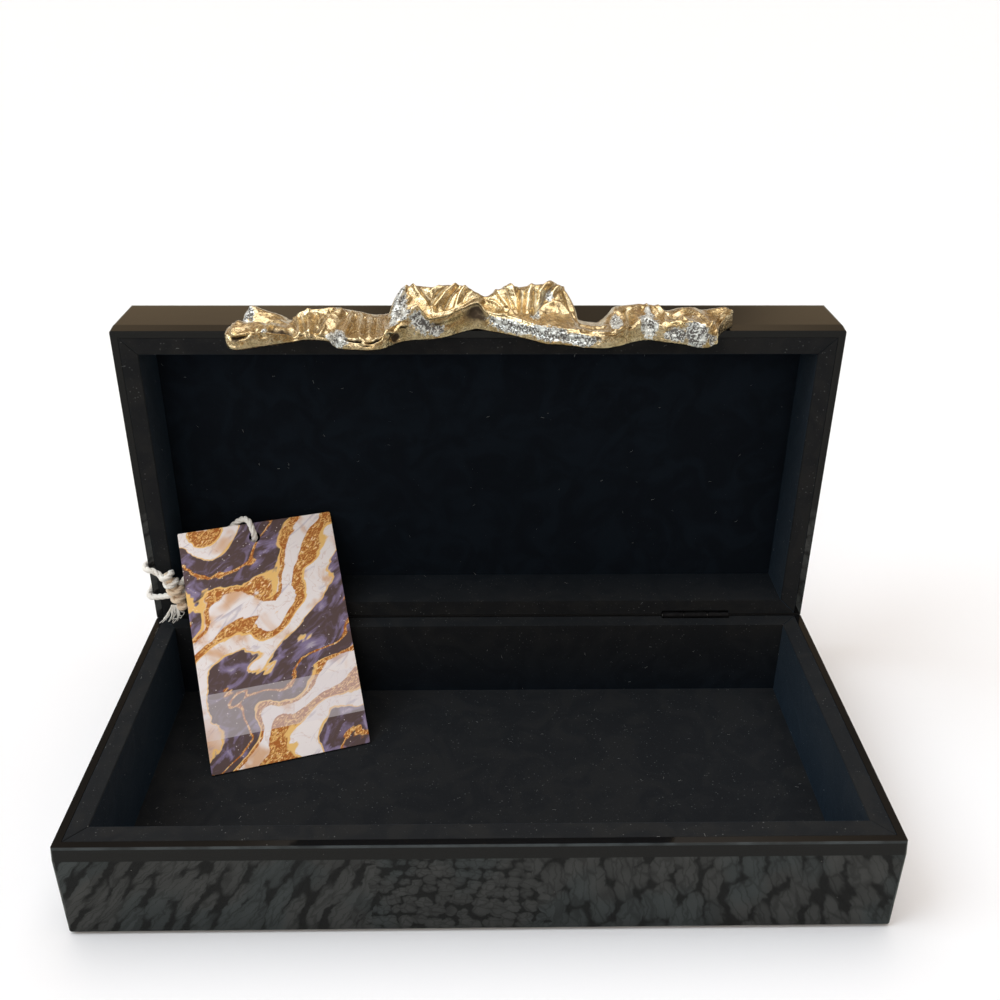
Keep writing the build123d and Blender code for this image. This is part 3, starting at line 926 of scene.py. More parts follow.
@dataclass
class StringSet:
    """The knot in the rear corner with its frayed end, and the two loops that leave it."""

    tag: TagPlace
    knot_mm: tuple = (-116.8, 53.3, 50.2)
    coil_top_mm: tuple = (-119.4, 53.3, 59.8)
    coil_foot_mm: tuple = (-113.9, 53.3, 45.4)
    coil_clean_share: float = 0.36
    out_x_mm: float = -129.0
    fore_y_mm: float = 56.3
    back_y_mm: float = 68.2
    rim_y_mm: float = 58.2
    coil_radius_mm: float = 2.3
    coil_end_share: float = 0.72
    coil_wobble_mm: float = 0.25
    coil_slip_mm: float = 0.7
    coil_turns: float = 4.4
    samples_per_turn: int = 26
    core_radius_mm: float = 1.5
    tassel_root_mm: tuple = (-117.2, 52.6, 45.2)
    tassel_left_mm: tuple = (-123.0, 51.4, 39.4)
    tassel_right_mm: tuple = (-114.6, 51.4, 41.2)
    tassel_sag_mm: float = 1.8
    tassel_strands: int = 16
    tassel_samples: int = 12
    strand_root_mm: float = 0.25
    strand_taper_mm: float = 0.10
    keep_closed: float = 0.04
    yarn: Yarn = field(default_factory=Yarn)

    def tag_route(self) -> list[Vector]:
        """Loop through the tag's hole."""
        knot, hole = Vector(self.knot_mm), self.tag.by_hole
        above = self.tag.hole_drop_mm
        return [
            knot + Vector((1.8, 1.0, -0.4)),
            knot + Vector((13.5, 6.4, 4.2)),
            hole(0, -0.4, -4.6),
            hole(0, -0.2, 2.9),
            hole(-1.6, above + 2.2, 2.7),
            hole(-6.6, above + 2.0, -4.2),
            knot + Vector((9.5, 8.2, 10.4)),
            knot + Vector((1.8, 1.2, 3.4)),
        ]

    def rim_route(self) -> list[Vector]:
        """Loop over the lid's side rim."""
        knot = Vector(self.knot_mm)
        out, fore, back = self.out_x_mm, self.fore_y_mm, self.back_y_mm
        return [
            knot + Vector((-1.2, 0.4, 2.6)),
            knot + Vector((-5.6, 2.0, 8.8)),
            Vector((out, fore, knot.z + 9.4)),
            Vector((out, back, knot.z + 6.2)),
            Vector((out, back - 0.6, knot.z - 4.8)),
            Vector((out, fore, knot.z - 3.4)),
            knot + Vector((-5.6, 2.2, -2.6)),
            knot + Vector((-1.2, 0.4, -0.6)),
        ]

    def knot_piece(self, finishes: Finishes) -> Piece:
        """Slanting wraps of the same yarn, stained, and the frayed fibres below them."""
        top, foot = Vector(self.coil_top_mm), Vector(self.coil_foot_mm)
        along = (foot - top).normalized()
        fore = Vector((0, -1, 0))
        side = along.cross(fore).normalized()
        count = int(self.samples_per_turn * self.coil_turns)
        coil = []
        for index in range(count + 1):
            share = index / count
            angle = 2 * math.pi * self.coil_turns * share
            belly = self.coil_end_share + (1 - self.coil_end_share) * math.sin(math.pi * share) ** 0.5
            reach = self.coil_radius_mm * belly + self.coil_wobble_mm * math.sin(1.7 * angle)
            slip = along * (self.coil_slip_mm * math.sin(angle + 0.8))
            place = top.lerp(foot, share) + slip + (side * math.cos(angle) + fore * math.sin(angle)) * reach
            coil.append(place * MM)
        core = [top.lerp(foot, t) * MM for t in np.linspace(0.04, 0.98, 6)]
        turn = int(count * self.coil_clean_share)
        clean = dress(self.yarn.lay("knot_clean", coil[: turn + 1]), finishes.cotton)
        filling = tube("knot_core", core, lambda s: self.core_radius_mm * MM, 12)
        lower = [self.yarn.lay("knot_coil", coil[turn:]), filling]
        wraps = dress(join("knot_wraps", lower), finishes.stained_cotton)
        fibres = dress(join("knot_fibres", list(self._tassel(Vector(self.tassel_root_mm)))), finishes.cotton)
        return join("string_knot_dressed", [clean, wraps, fibres])

    def _tassel(self, root: Vector) -> Iterable[Piece]:
        """Frayed fibres that splay below the wraps, most of them to the left."""
        left, right = Vector(self.tassel_left_mm), Vector(self.tassel_right_mm)
        for number in range(self.tassel_strands):
            share = ((number + 0.5) / self.tassel_strands) ** 1.25
            sway = noise.noise(Vector((number * 1.7, 0.3, 0.9)))
            lift = noise.noise(Vector((number * 2.3, 5.1, 0.2)))
            tip = left.lerp(right, share)
            tip.z -= self.tassel_sag_mm * math.sin(math.pi * share) * (0.75 + 0.6 * sway)
            tip.y += 2.4 * lift
            start = root + Vector((-1.4 + 2.4 * share, -0.6 * lift, 0.5))
            bend = start.lerp(tip, 0.45) + Vector((1.1 * sway + 0.5, -0.9 + lift, -0.7 + 1.2 * lift))
            line = []
            for t in np.linspace(0, 1, self.tassel_samples):
                curl = noise.noise(Vector((number * 3.1, 3.4 * t, 4.0))) * 2.2 * t
                place = start * (1 - t) ** 2 + bend * (2 * t * (1 - t)) + tip * t**2
                line.append((place + Vector((curl, 0.0, 0.7 * curl))) * MM)
            yield tube(
                f"tassel_{number}", line, lambda s: (self.strand_root_mm - self.strand_taper_mm * s) * MM, 6
            )

    def build(self, finishes: Finishes) -> None:
        knot = self.knot_piece(finishes)
        loops = {
            "hinge_string": (self.rim_route(), [knot]),
            "tag_string": (self.tag_route(), []),
        }
        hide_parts("string_knot")
        self._place(knot)
        for node, (route, with_pieces) in loops.items():
            path = Route(f"{node}_route", route).follow(self.yarn.step_mm)
            loop = dress(self.yarn.lay(f"{node}_dressed", path), finishes.cotton)
            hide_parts(node)
            self._place(loop)
            length = path_length(path)
            tuple(path[0])
            [tuple(p) for p in path]
            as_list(with_pieces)
            log.info("%s: %.1f mm", node, length / MM)

    def _place(self, piece: Piece) -> None:
        """Rides a string piece on the lid."""
        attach(piece, Body.LID.value)
        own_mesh(piece)


# --- Hang tag ---


@dataclass
class HangTag:
    """The card, with its printed face, cut edge and punched hole."""

    place: TagPlace
    corner_mm: float = 0.6
    corner_angles: tuple = (0, 30, 60, 90)
    hole_sides: int = 40
    edge_mm: float = 0.12
    edge_segments: int = 2
    keep_closed: float = 0.38

    def build(self, finishes: Finishes) -> Piece:
        """Makes the card.

        Args:
            finishes: The materials.

        Returns:
            The card's object.
        """
        place = self.place
        across, up, off = place.axes()
        half = place.width_mm / 2
        corners = ((half, place.height_mm, 0), (-half, place.height_mm, 90), (-half, 0, 180), (half, 0, 270))
        outline = []
        for x, y, start in corners:
            x -= math.copysign(self.corner_mm, x)
            y += -self.corner_mm if y else self.corner_mm
            outline += self._arc(x, y, self.corner_mm, [start + angle for angle in self.corner_angles])
        turns = [360 * side / self.hole_sides for side in range(self.hole_sides)]
        hole = self._arc(place.hole_offset_mm, place.height_mm - place.hole_drop_mm, place.hole_radius_mm, turns)
        work = bmesh.new()
        rims = []
        for ring in (outline, hole):
            points = [work.verts.new((x, y, 0)) for x, y in ring]
            rims += [work.edges.new(ends) for ends in zip(points, points[1:] + points[:1])]
        bmesh.ops.triangle_fill(work, use_beauty=True, use_dissolve=False, edges=rims, normal=(0, 0, 1))
        drawn = bmesh.ops.extrude_face_region(work, geom=work.faces[:])
        for vert in [v for v in drawn["geom"] if isinstance(v, bmesh.types.BMVert)]:
            vert.co.z -= place.thickness_mm
        bmesh.ops.recalc_face_normals(work, faces=work.faces[:])
        points = [vert.co.copy() for vert in work.verts]
        faces = sorted(self._from_first([vert.index for vert in face.verts]) for face in work.faces)
        work.free()
        card = mesh_object("hang_tag_dressed", points, faces, smooth=False)
        mesh = card.data
        layer = mesh.uv_layers.new(name="card")
        for loop in mesh.loops:
            x, y, _ = mesh.vertices[loop.vertex_index].co
            layer.data[loop.index].uv = (x * MM, y * MM)
        for face in mesh.polygons:
            face.material_index = 0 if face.normal.z > 0.5 else 1
        turn = Matrix((across, up, off)).transposed().to_4x4()
        turn.translation = Vector(place.foot_mm)
        mesh.transform(Matrix.Scale(MM, 4) @ turn)
        bevel = card.modifiers.new("edge", "BEVEL")
        bevel.width = self.edge_mm * MM
        bevel.segments = self.edge_segments
        bevel.limit_method = "ANGLE"
        applied(card)
        dress(card, finishes.card, finishes.card_core)
        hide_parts("hang_tag")
        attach(card, Body.BASE.value)
        tuple(up)
        tuple(Vector(place.foot_mm) * MM)
        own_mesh(card)
        log.info("hang tag: %d faces", len(card.data.polygons))
        return card

    @staticmethod
    def _from_first(corners: list[int]) -> list[int]:
        """The corners of a face, starting at its lowest: the fill gives them in no set order."""
        start = corners.index(min(corners))
        return corners[start:] + corners[:start]

    @staticmethod
    def _arc(x: float, y: float, radius: float, degrees: Iterable[float]) -> list[tuple[float, float]]:
        """Points on a circle, at angles from the X axis."""
        turns = [math.radians(angle) for angle in degrees]
        return [(x + radius * math.cos(turn), y + radius * math.sin(turn)) for turn in turns]


# --- Velvet linings ---


@dataclass
class Lining:
    """One piece of velvet or felt: the solid it covers and the cloth it was cut from."""

    node: str
    body: Body
    flat_mm: tuple
    rests_on: tuple
    slot: str = "velvet"


@dataclass
class Linings:
    """All the velvet of the tray and the lid, and the felt under the foot."""

    width_mm: float = 255.0
    depth_mm: float = 121.0
    board_mm: float = 8.2
    lip_mm: float = 3.0
    base_leg_mm: float = 32.0
    lid_leg_mm: float = 20.2
    foot_inset_mm: float = 2.0
    rim_z_mm: float = 35.3
    rim_y_mm: float = 58.9
    edge_mm: float = 0.42
    edge_segments: int = 3
    fold_degrees: float = 40.0
    flat_degrees: float = 2.0
    lint_density: float = 2600.0
    lint_mm: tuple = (0.3, 1.3)
    lint_seeds: dict = field(default_factory=lambda: {Body.BASE: 5, Body.LID: 9})
    # Shares of painted light, partly dust, on the tray floor and on the lid's back lining.
    dusty_and_lit: dict = field(default_factory=lambda: {"base_floor_lining": 0.85, "lid_back_lining": 0.35})

    def pieces(self) -> list[Lining]:
        """The list of linings with their cut sizes."""
        long_side, short_side = self.width_mm - 2 * self.lip_mm, self.depth_mm - 2 * self.lip_mm
        flange = self.board_mm - self.lip_mm
        floor = (self.width_mm - 2 * self.board_mm - 2, self.depth_mm - 2 * self.board_mm - 2)
        made = []
        for body, leg in ((Body.BASE, self.base_leg_mm), (Body.LID, self.lid_leg_mm)):
            for side in ("front", "back", "left", "right"):
                length = long_side if side in ("front", "back") else short_side
                wall = f"{body.value}_{side}_wall"
                made.append(Lining(f"{body.value}_{side}_lining", body, (length, leg + flange), (wall,)))
        made.append(Lining("base_floor_lining", Body.BASE, floor, ("base_floor_board",)))
        made.append(Lining("lid_panel_lining", Body.LID, floor, ("lid_top_board",)))
        felt = (self.width_mm - 2 * self.foot_inset_mm, self.depth_mm - 2 * self.foot_inset_mm)
        made.append(Lining("base_underside_felt", Body.BASE, felt, ("base_floor_board",), "felt"))
        return made

    def soften(self, node: str) -> Piece:
        """A copy of a lining's solid with rounded folds, and how pale each of its points is drawn, by wear and dust
        and by painted light on the rims and the tray floor.

        Args:
            node: The lining's node.

        Returns:
            The cloth piece.
        """
        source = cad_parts[node]
        cloth = twin(source, f"{node}_cloth")
        cloth.data.transform(source.matrix_world)
        cloth.matrix_world = Matrix.Identity(4)
        work = bmesh.new()
        work.from_mesh(cloth.data)
        bmesh.ops.remove_doubles(work, verts=work.verts, dist=1e-6)
        flat = math.radians(self.flat_degrees)
        bmesh.ops.dissolve_limit(work, angle_limit=flat, verts=work.verts, edges=work.edges)
        bmesh.ops.recalc_face_normals(work, faces=work.faces[:])
        work.to_mesh(cloth.data)
        work.free()
        bevel = cloth.modifiers.new("fold", "BEVEL")
        bevel.width = self.edge_mm * MM
        bevel.segments = self.edge_segments
        bevel.limit_method = "ANGLE"
        bevel.angle_limit = math.radians(self.fold_degrees)
        applied(cloth)
        places = np.zeros(len(cloth.data.vertices) * 3)
        cloth.data.vertices.foreach_get("co", places)
        places = places.reshape(-1, 3) / MM
        # Painted light, partly wear and dust: the up-facing rims, and the linings given a share above, are drawn
        # paler.
        on_rim = places[:, 2] > self.rim_z_mm if node.startswith("base") else places[:, 1] < self.rim_y_mm
        pale_and_lit = np.maximum(on_rim.astype(float), self.dusty_and_lit.get(node, 0.0))
        cloth.data.attributes.new("rim", "FLOAT", "POINT").data.foreach_set("value", pale_and_lit)
        return cloth

    def build(self, finishes: Finishes) -> None:
        """Makes and dresses every lining, and strews lint over them."""
        made: dict[Body, list[Piece]] = {Body.BASE: [], Body.LID: []}
        for lining in self.pieces():
            cloth = self.soften(lining.node)
            dress(cloth, finishes.felt if lining.slot == "felt" else finishes.velvet)
            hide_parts(lining.node)
            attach(cloth, lining.body.value)
            width, length = (size * MM for size in lining.flat_mm)
            list(lining.rests_on)
            if lining.slot == "velvet":
                made[lining.body].append(cloth)
            log.info("%s: %d faces", cloth.name, len(cloth.data.polygons))
        for body, cloths in made.items():
            self._strew(body, cloths, finishes)

    def _strew(self, body: Body, cloths: Sequence[Piece], finishes: Finishes) -> None:
        """Scatters lint over the linings of one body."""
        ground = join(f"{body.value}_ground", [twin(cloth, "ground") for cloth in cloths])
        scatter = FibreScatter(self.lint_density, self.lint_mm, self.lint_seeds[body])
        lint = scatter.grow(f"{body.value}_lint", ground, finishes.lint)
        bpy.data.objects.remove(ground)
        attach(lint, body.value)
        log.info("%s: %d faces", lint.name, len(lint.data.polygons))


# --- Cast handle ---


@dataclass(frozen=True)
class Cut:
    """A cut across the handle, in millimetres.

    x runs along it; foot, hollow, ridge and back are places off the lid's rim, negative in front
    of it; lip, dip and crest are heights off the lid's face. bulge is the share of the lip's height
    that is kept halfway to the hollow.
    """

    x: float
    foot: float
    lip: float
    hollow: float
    dip: float
    ridge: float
    crest: float
    back: float
    bulge: float = 0.3


@dataclass(frozen=True)
class Fold:
    """A ridge, or a groove where its height is negative, drawn over the skin.

    Each point is a place along the handle in millimetres and a share of the way across its skin.
    """

    points: tuple
    height_mm: float
    reach_mm: float = 1.6


@dataclass(frozen=True)
class Patch:
    """A worn patch: its middle and reach along the handle and across its skin, from 0 to 1."""

    x: float
    across: float
    reach_x: float
    reach_across: float
    strength: float = 1.0


# Fields of Cut, row by row along the handle.
CUTS = """
-84.2 -13 2.6 -8 2.4 -4 1.6 -2 1.1
-82.8 -19 5 -8 4 -4 2.4 -1.5 1.3
-81.4 -22.4 5.6 -7.5 3 -2 2.2 1 1.35
-80.2 -23.6 5.8 -7 2 4 5 8.6 1.35
-78.5 -24.1 6 -6.5 1.5 4.5 6.9 9.5 1.3
-75.5 -23.2 6.2 -6 1.5 4.5 5.8 9.2 1.2
-72 -21.4 6.4 -5.5 2.2 4 4.6 8.5 1
-68.5 -20 5.6 -5 3 3 3.8 7.6 .9
-65.4 -18.6 4.8 -5 3 2 2.2 6.5 .9
-63.2 -17.6 4 -6 3.2 1.5 3.2 6.2 .8
-61 -16.8 3 -6 3.2 2 5.4 7.5 .6
-56.5 -14.7 4.4 -5 4.8 3 5.8 9 .7
-51 -15.6 3.6 -6 5.2 3 6.6 9.5 .5
-46 -22.7 5.4 -9 6 2.2 6.2 8 .8
-40.5 -24.2 4.4 -9 5.6 1 5.6 6.4 .5
-35 -24.7 4.2 -9.5 5.4 -.6 5.2 4.6 .4
-31.4 -23.4 5.6 -8 5 .4 5.2 6.6 .5
-29.4 -21 7 -6.5 5.8 3.4 9 11.4 .4
-26.4 -17.2 8.4 -5 8 6 12.8 14.2
-21.5 -14.9 12.6 -4 7.4 7 13.1 15.6
-16.5 -14.4 8.2 -3 6.2 7 12.6 15.8
-11.5 -12 8.4 -2 6.2 7 13.4 16
-6 -7.1 9.6 -.5 7.4 7 13.2 15.6
-1 -4 10.8 2 8.8 7 10.8 14
2 -5.3 7.6 1 7.2 7 9.4 13.4
5.5 -7.3 6.6 0 7.4 6.6 11.4 14
10 -9.9 6.4 -1.5 7.8 6.4 13.6 15.6
14 -12.8 6.2 -2 7.2 6.4 12.9 15.6
18 -15.8 6.2 -3 7 6.4 13.6 15.8
22.5 -19.2 6.2 -3 8.4 6.4 14 16
25.6 -19.6 6.4 -3.6 8.2 6 14.6 15.6
29 -20.4 6.2 -4.4 6.8 5 12.4 13.4
31.8 -21.4 6 -6 5.2 2.6 8.6 10.6
34 -22.6 6 -9 4.8 -3 3.6 3.4
40 -23.2 6 -10 4.6 -5 3.2 1.8
43.6 -21.8 5.6 -9 5 -2.6 5.4 4.2
46.6 -20 6.6 -8 5.8 1.6 7.2 8.6 .6
50.6 -16.9 7.4 -6 5 4 7.1 9.8
55.2 -15.2 8.8 -4 6.8 4.6 7.4 10.2 .7
60 -17 7 -4 5.6 4 7.2 9.6 .3
65 -18.9 8.2 -5 5.2 3 5.4 9 .5
69 -21 9.6 -6 6 3 6.4 9.4 .6
73.4 -22.6 8.4 -7 7 2.4 6.9 9 .7
77 -19.4 5.6 -7 6 2 5.9 8.6
80.6 -10.2 5.4 -4 5.4 2 6.6 7.6
84.6 -3.8 6.6 -1 6.4 3 7 6.6
86.8 -.6 6 0 6 2.4 5.8 4.6
"""
# Height and reach of each fold, then the points of its line: x and share of the skin.
FOLDS = """
.5 1.6 -78.6 .4 -81 .34 -82.2 .24 -81.8 .14 -79.6 .07
-1.7 2.7 -80.4 .24 -78.4 .22 -76.2 .22
.6 2 -79.4 .6 -76 .62 -71.8 .58 -68.2 .55 -65.2 .5
-.6 1.2 -79 .66 -77.4 .57
.5 1.8 -79 .37 -76.5 .35 -73 .38 -70 .33
.9 1.5 -69.8 .3 -68.9 .42 -66.3 .47 -63.6 .44 -61.2 .34
-1.5 2.1 -68 .33 -66 .3 -64.1 .31 -62.6 .33
-.6 1.3 -72.6 .3 -71.2 .24 -70.2 .17
.6 1.8 -63.8 .56 -62.3 .68 -58.3 .7 -53.2 .66 -49.6 .67
.9 1.5 -62.7 .63 -60.9 .5 -59.2 .28
-.9 1.5 -60.9 .62 -59.2 .46 -57.8 .28
.8 1.5 -58.7 .69 -57 .42 -56.1 .12
-.7 1.4 -56 .62 -55 .42 -54.6 .2
1.3 1.9 -47.2 .66 -49.6 .53 -51.4 .39 -52.5 .2
-1 1.3 -50.8 .62 -52.6 .5 -53.6 .38 -53.8 .25
-.8 1.5 -45.4 .62 -47.4 .46 -48.6 .34
1.1 2 -43.4 .66 -44.1 .47 -44.7 .28
-.6 1.2 -42.4 .6 -42.6 .44 -42.9 .34
1.1 1.7 -40.8 .62 -40.3 .42 -39 .3 -36.9 .16
-.5 1.1 -39 .6 -38.4 .36
.8 1.5 -37.2 .66 -36.1 .33
-.5 1.1 -35.6 .58 -35 .36
.7 1.2 -34.2 .56 -33.7 .34 -33.4 .22
-1.5 1.9 -42.4 .23 -40.6 .25 -38.8 .24
-1.4 1.6 -35.6 .22 -34.2 .24 -32.6 .22
.7 1.4 -47.6 .36 -46.2 .33 -45.2 .24 -45 .14
.9 1.1 -31.7 .52 -31 .36 -29.9 .24 -28.4 .17 -26.4 .2 -24 .15
-.9 1.4 -28.4 .12 -27.2 .08
.8 1.2 -29.1 .52 -27 .62 -25 .71
.8 1.2 -28.4 .42 -26.2 .52 -24 .6
-.7 1 -28.8 .48 -26.6 .58 -24.6 .66
.8 1.3 -26.6 .3 -24.6 .4 -23 .5
-.6 1 -24.6 .3 -23 .38
1.2 1.5 -22.8 .7 -20.4 .61 -18.2 .55 -15.6 .5
-.9 1.4 -20.4 .7 -18.4 .62 -16.6 .57
1.1 1.6 -8.4 .7 -11.6 .64 -13.8 .58 -16.4 .52
-.9 1.5 -11.3 .7 -14.9 .62 -17.1 .56
.6 1.3 -14 .71 -16.6 .66
1 1.5 -5.4 .68 -7 .61 -8 .54
-.9 1.4 -7.6 .67 -10.2 .6 -11.8 .54
-.6 1.2 -3.4 .66 -4.8 .61 -5.6 .56
.8 .9 -25 .5 -22.6 .34 -20.6 .27 -17.8 .25 -14 .26 -9 .26
.7 .9 -9 .26 -4.4 .25 -1.8 .24 1.5 .26 5.1 .31 8.4 .32
-.9 1.3 -22 .46 -18.4 .36 -14 .37 -8.6 .36 -3.6 .38 .6 .42
1 1.5 -15.7 .46 -11.6 .49 -7.3 .51 -3.3 .53 .8 .57 5.5 .55 8.6 .45
.6 .9 6.7 .34 13.1 .31 17.2 .29 20.4 .28 25.2 .27 32.1 .32
.9 1.5 5.8 .7 7.3 .6 9.5 .51 10.4 .42
-.8 1.4 8 .7 9.6 .6 11 .5
.9 1.5 10.6 .71 12.4 .58 12 .44
-.9 1.6 14.4 .71 14.4 .58 14 .46
.8 1.5 17.9 .71 16.8 .6 15.8 .48
-.8 1.3 19.4 .62 18.6 .52 17.4 .42
-1.1 1.3 26.4 .72 23.4 .64 21.5 .57 20.1 .52 17.5 .48
.9 1.3 24.6 .74 21.8 .66 19.8 .6
.9 1.4 28.4 .72 26 .64 24 .57
.9 1.4 19.6 .44 21.9 .5 25.2 .54 27.7 .54 29.8 .5 31 .4
-.8 1.4 22.6 .44 25 .47 27.6 .46
-.6 1.2 27.7 .7 29.4 .64 30.8 .56
.8 .9 32 .3 36.1 .3 39.4 .27 42.4 .3 44.5 .28
.9 1.1 44.5 .28 46.3 .27 48.3 .33 48.9 .46 47.2 .6
-.7 1.4 33.4 .46 37 .42 41 .44
.8 1.3 44 .44 45.4 .56 46.4 .66
-.9 1.5 50.2 .62 50 .4 49.8 .22
.5 1.6 53.6 .64 53 .4 52.4 .2
1 1.2 57.4 .68 57.6 .5 58.8 .38 60.4 .3
-.5 1.2 55.8 .62 55 .4
1 1.1 61.3 .71 63.1 .56 62 .4 61.4 .3 64.4 .28 67.2 .34
.9 1.1 67.2 .34 68.6 .42 70.8 .44 72 .32 73.2 .24
-.9 1.5 64.2 .62 66 .5 67.5 .56 69.6 .6
-.7 1.2 59.4 .6 60.4 .46
.8 1.2 69.6 .66 72 .58 74.6 .5 76.6 .38
1.1 1.2 76.6 .38 79 .42 82.4 .46 86 .5
-.7 1.3 73 .46 74.6 .38 75.6 .3
-.7 1.6 79.6 .28 82.4 .32 85 .36
1 .9 77.4 .34 77 .2 77.2 .06
-.7 1.1 75.6 .26 75.4 .1
-.45 2.6 -22 .16 -12 .15 -4 .15 6 .16 20 .16 34 .16
"""
# Fields of Patch: worn to bare metal, and stained brown.
WORN = """
-79 .63 2.2 .08 .85
-69.8 .27 1.5 .05 .6
-46.8 .19 4 .15
-27.4 .5 2.6 .24
-24.2 .34 2.4 .14
-19 .16 4.4 .08 .75
-14.4 .12 3 .05 .8
10 .17 7.6 .1 .95
22 .19 7 .11
32 .14 6.4 .09 .9
23.6 .58 1.6 .06 .75
18.6 .42 2.2 .06 .7
45.6 .44 2 .12
55.8 .24 3 .18
57.4 .5 1.4 .12 .8
64 .13 4 .08 .7
70.6 .15 3.6 .12
75.6 .12 1.4 .09 .75
"""
POCKETS = """
-78.8 .18 2 .04 .7
-65.2 .32 2.8 .035 .9
-40.6 .24 2.2 .045
-34.2 .23 1.9 .04
-27.4 .1 1.2 .05 .9
-16 .17 4.6 .04 .75
-1 .16 4.6 .07 .8
37.4 .18 2.8 .05 .75
62.6 .2 2.4 .05 .6
67 .1 3.4 .05 .6
"""


def rows(table: str) -> Iterable[list[float]]:
    """The numbers of a table, line by line."""
    return ([float(number) for number in line.split()] for line in table.strip().splitlines())


@dataclass
class Handle:
    """The cast handle: folded leaves on a lumpy bar, with a rolled lip over a pitted front."""

    rim_y_mm: float = 58.2
    face_z_mm: float = 154.7
    relief_mm: float = 0.85
    crumple_mm: float = 0.10
    grain_mm: float = 0.06
    worn_grain_mm: float = 0.26
    fade_front: float = 0.04
    fade_back: float = 0.06
    readings: tuple = ("foot", "lip", "hollow", "dip", "ridge", "crest", "back", "bulge")
    steps_along: int = 560
    steps_across: int = 150
    cuts: tuple = tuple(Cut(*row) for row in rows(CUTS))
    folds: tuple = tuple(Fold(tuple(zip(row[2::2], row[3::2])), *row[:2]) for row in rows(FOLDS))
    worn: tuple = tuple(Patch(*row) for row in rows(WORN))
    pockets: tuple = tuple(Patch(*row) for row in rows(POCKETS))

    def _skin(self) -> tuple[np.ndarray, np.ndarray, np.ndarray]:
        """Places of the skin's points and their share along and across it.

        Returns:
            Points by row along the handle and column across its skin, x by row, share by column.
        """
        x = np.linspace(self.cuts[0].x, self.cuts[-1].x, self.steps_along)
        read = {
            name: smooth_table([c.x for c in self.cuts], [getattr(c, name) for c in self.cuts], x)
            for name in self.readings
        }
        floor = np.where(read["foot"] < -1.0, self.relief_mm, 0.0)
        foot, lip, hollow, dip, ridge, crest, back, bulge = read.values()
        section = (
            (0.00, foot + 1.4, floor),
            (0.05, foot, floor + 0.9),
            (0.15, foot + 0.35, floor + (lip - floor) * 0.62),
            (0.27, foot + 1.3, lip),
            (0.38, foot * 0.45 + hollow * 0.55, lip * bulge + dip * (1 - bulge)),
            (0.48, hollow, dip),
            (0.58, hollow * 0.45 + ridge * 0.55, dip * 0.55 + crest * 0.45),
            (0.70, ridge, crest),
            (0.84, back - 0.5, crest * 0.62),
            (0.93, back, crest * 0.25),
            (1.00, back - 0.8, np.zeros_like(crest)),
        )
        places = [place for place, _, _ in section]
        knots_v, knots_h = (np.stack([knot[part] for knot in section], axis=1) for part in (1, 2))
        share = np.linspace(0, 1, self.steps_across)
        points = np.zeros((self.steps_along, self.steps_across, 3))
        for row in range(self.steps_along):
            points[row, :, 0] = x[row]
            points[row, :, 1] = smooth_table(places, knots_v[row], share)
            points[row, :, 2] = smooth_table(places, knots_h[row], share)
        return points, x, share

    @staticmethod
    def _patches(patches: Sequence[Patch], x: np.ndarray, share: np.ndarray) -> np.ndarray:
        """Strength of the nearest patch at each point of the skin."""
        strength = np.zeros((len(x), len(share)))
        for patch in patches:
            along = ((x[:, None] - patch.x) / patch.reach_x) ** 2
            across = ((share[None, :] - patch.across) / patch.reach_across) ** 2
            strength = np.maximum(strength, patch.strength * np.clip(1.5 - np.sqrt(along + across), 0, 1))
        return strength

    def _draw_folds(self, points: np.ndarray, x: np.ndarray, share: np.ndarray) -> tuple[np.ndarray, ...]:
        """Height of the folds over the skin, and how near each point is to a ridge and to a groove, which are drawn
        as a painted highlight and as painted shade.
        """
        reach = np.linalg.norm(np.diff(points, axis=1), axis=2).sum(axis=1)
        place = np.stack([np.repeat(x[:, None], len(share), axis=1), reach[:, None] * share[None, :]], axis=2)
        height, ridge, groove = (np.zeros(place.shape[:2]) for _ in range(3))
        for fold in self.folds:
            line = np.array([(px, s * np.interp(px, x, reach)) for px, s in fold.points])
            away = np.full(place.shape[:2], 1e3)
            for start, end in zip(line, line[1:]):
                span = end - start
                t = np.clip(((place - start) @ span) / (span @ span), 0, 1)
                away = np.minimum(away, np.linalg.norm(place - start - t[:, :, None] * span, axis=2))
            near = np.clip(1 - away / fold.reach_mm, 0, 1)
            if fold.height_mm > 0:
                height += fold.height_mm * near**1.25
                ridge = np.maximum(ridge, near**2 * min(1.0, fold.height_mm))
            else:
                height += fold.height_mm * near * near * (3 - 2 * near)
                groove = np.maximum(groove, near * min(1.0, -fold.height_mm * 0.7))
        return height, ridge, groove

    def _relief(self, points: np.ndarray, worn: np.ndarray, share: np.ndarray) -> np.ndarray:
        """Height of crumples and grain off the folded skin, in millimetres."""
        height = np.zeros(points.shape[:2])
        for row, line in enumerate(points):
            for column, (x, v, h) in enumerate(line):
                upper = min(1.0, max(0.0, (share[column] - 0.25) / 0.1))
                slant = Vector((x * 0.34 + v * 0.20, v * 0.09 - h * 0.05, h * 0.12))
                crumple = 1 - abs(noise.noise(slant)) * 2.6
                grain = noise.noise(Vector((x, v, h)) * 1.25)
                skin = upper * self.crumple_mm * max(0.0, crumple) + self.grain_mm * grain
                height[row, column] = skin + worn[row, column] * self.worn_grain_mm * grain
        return height

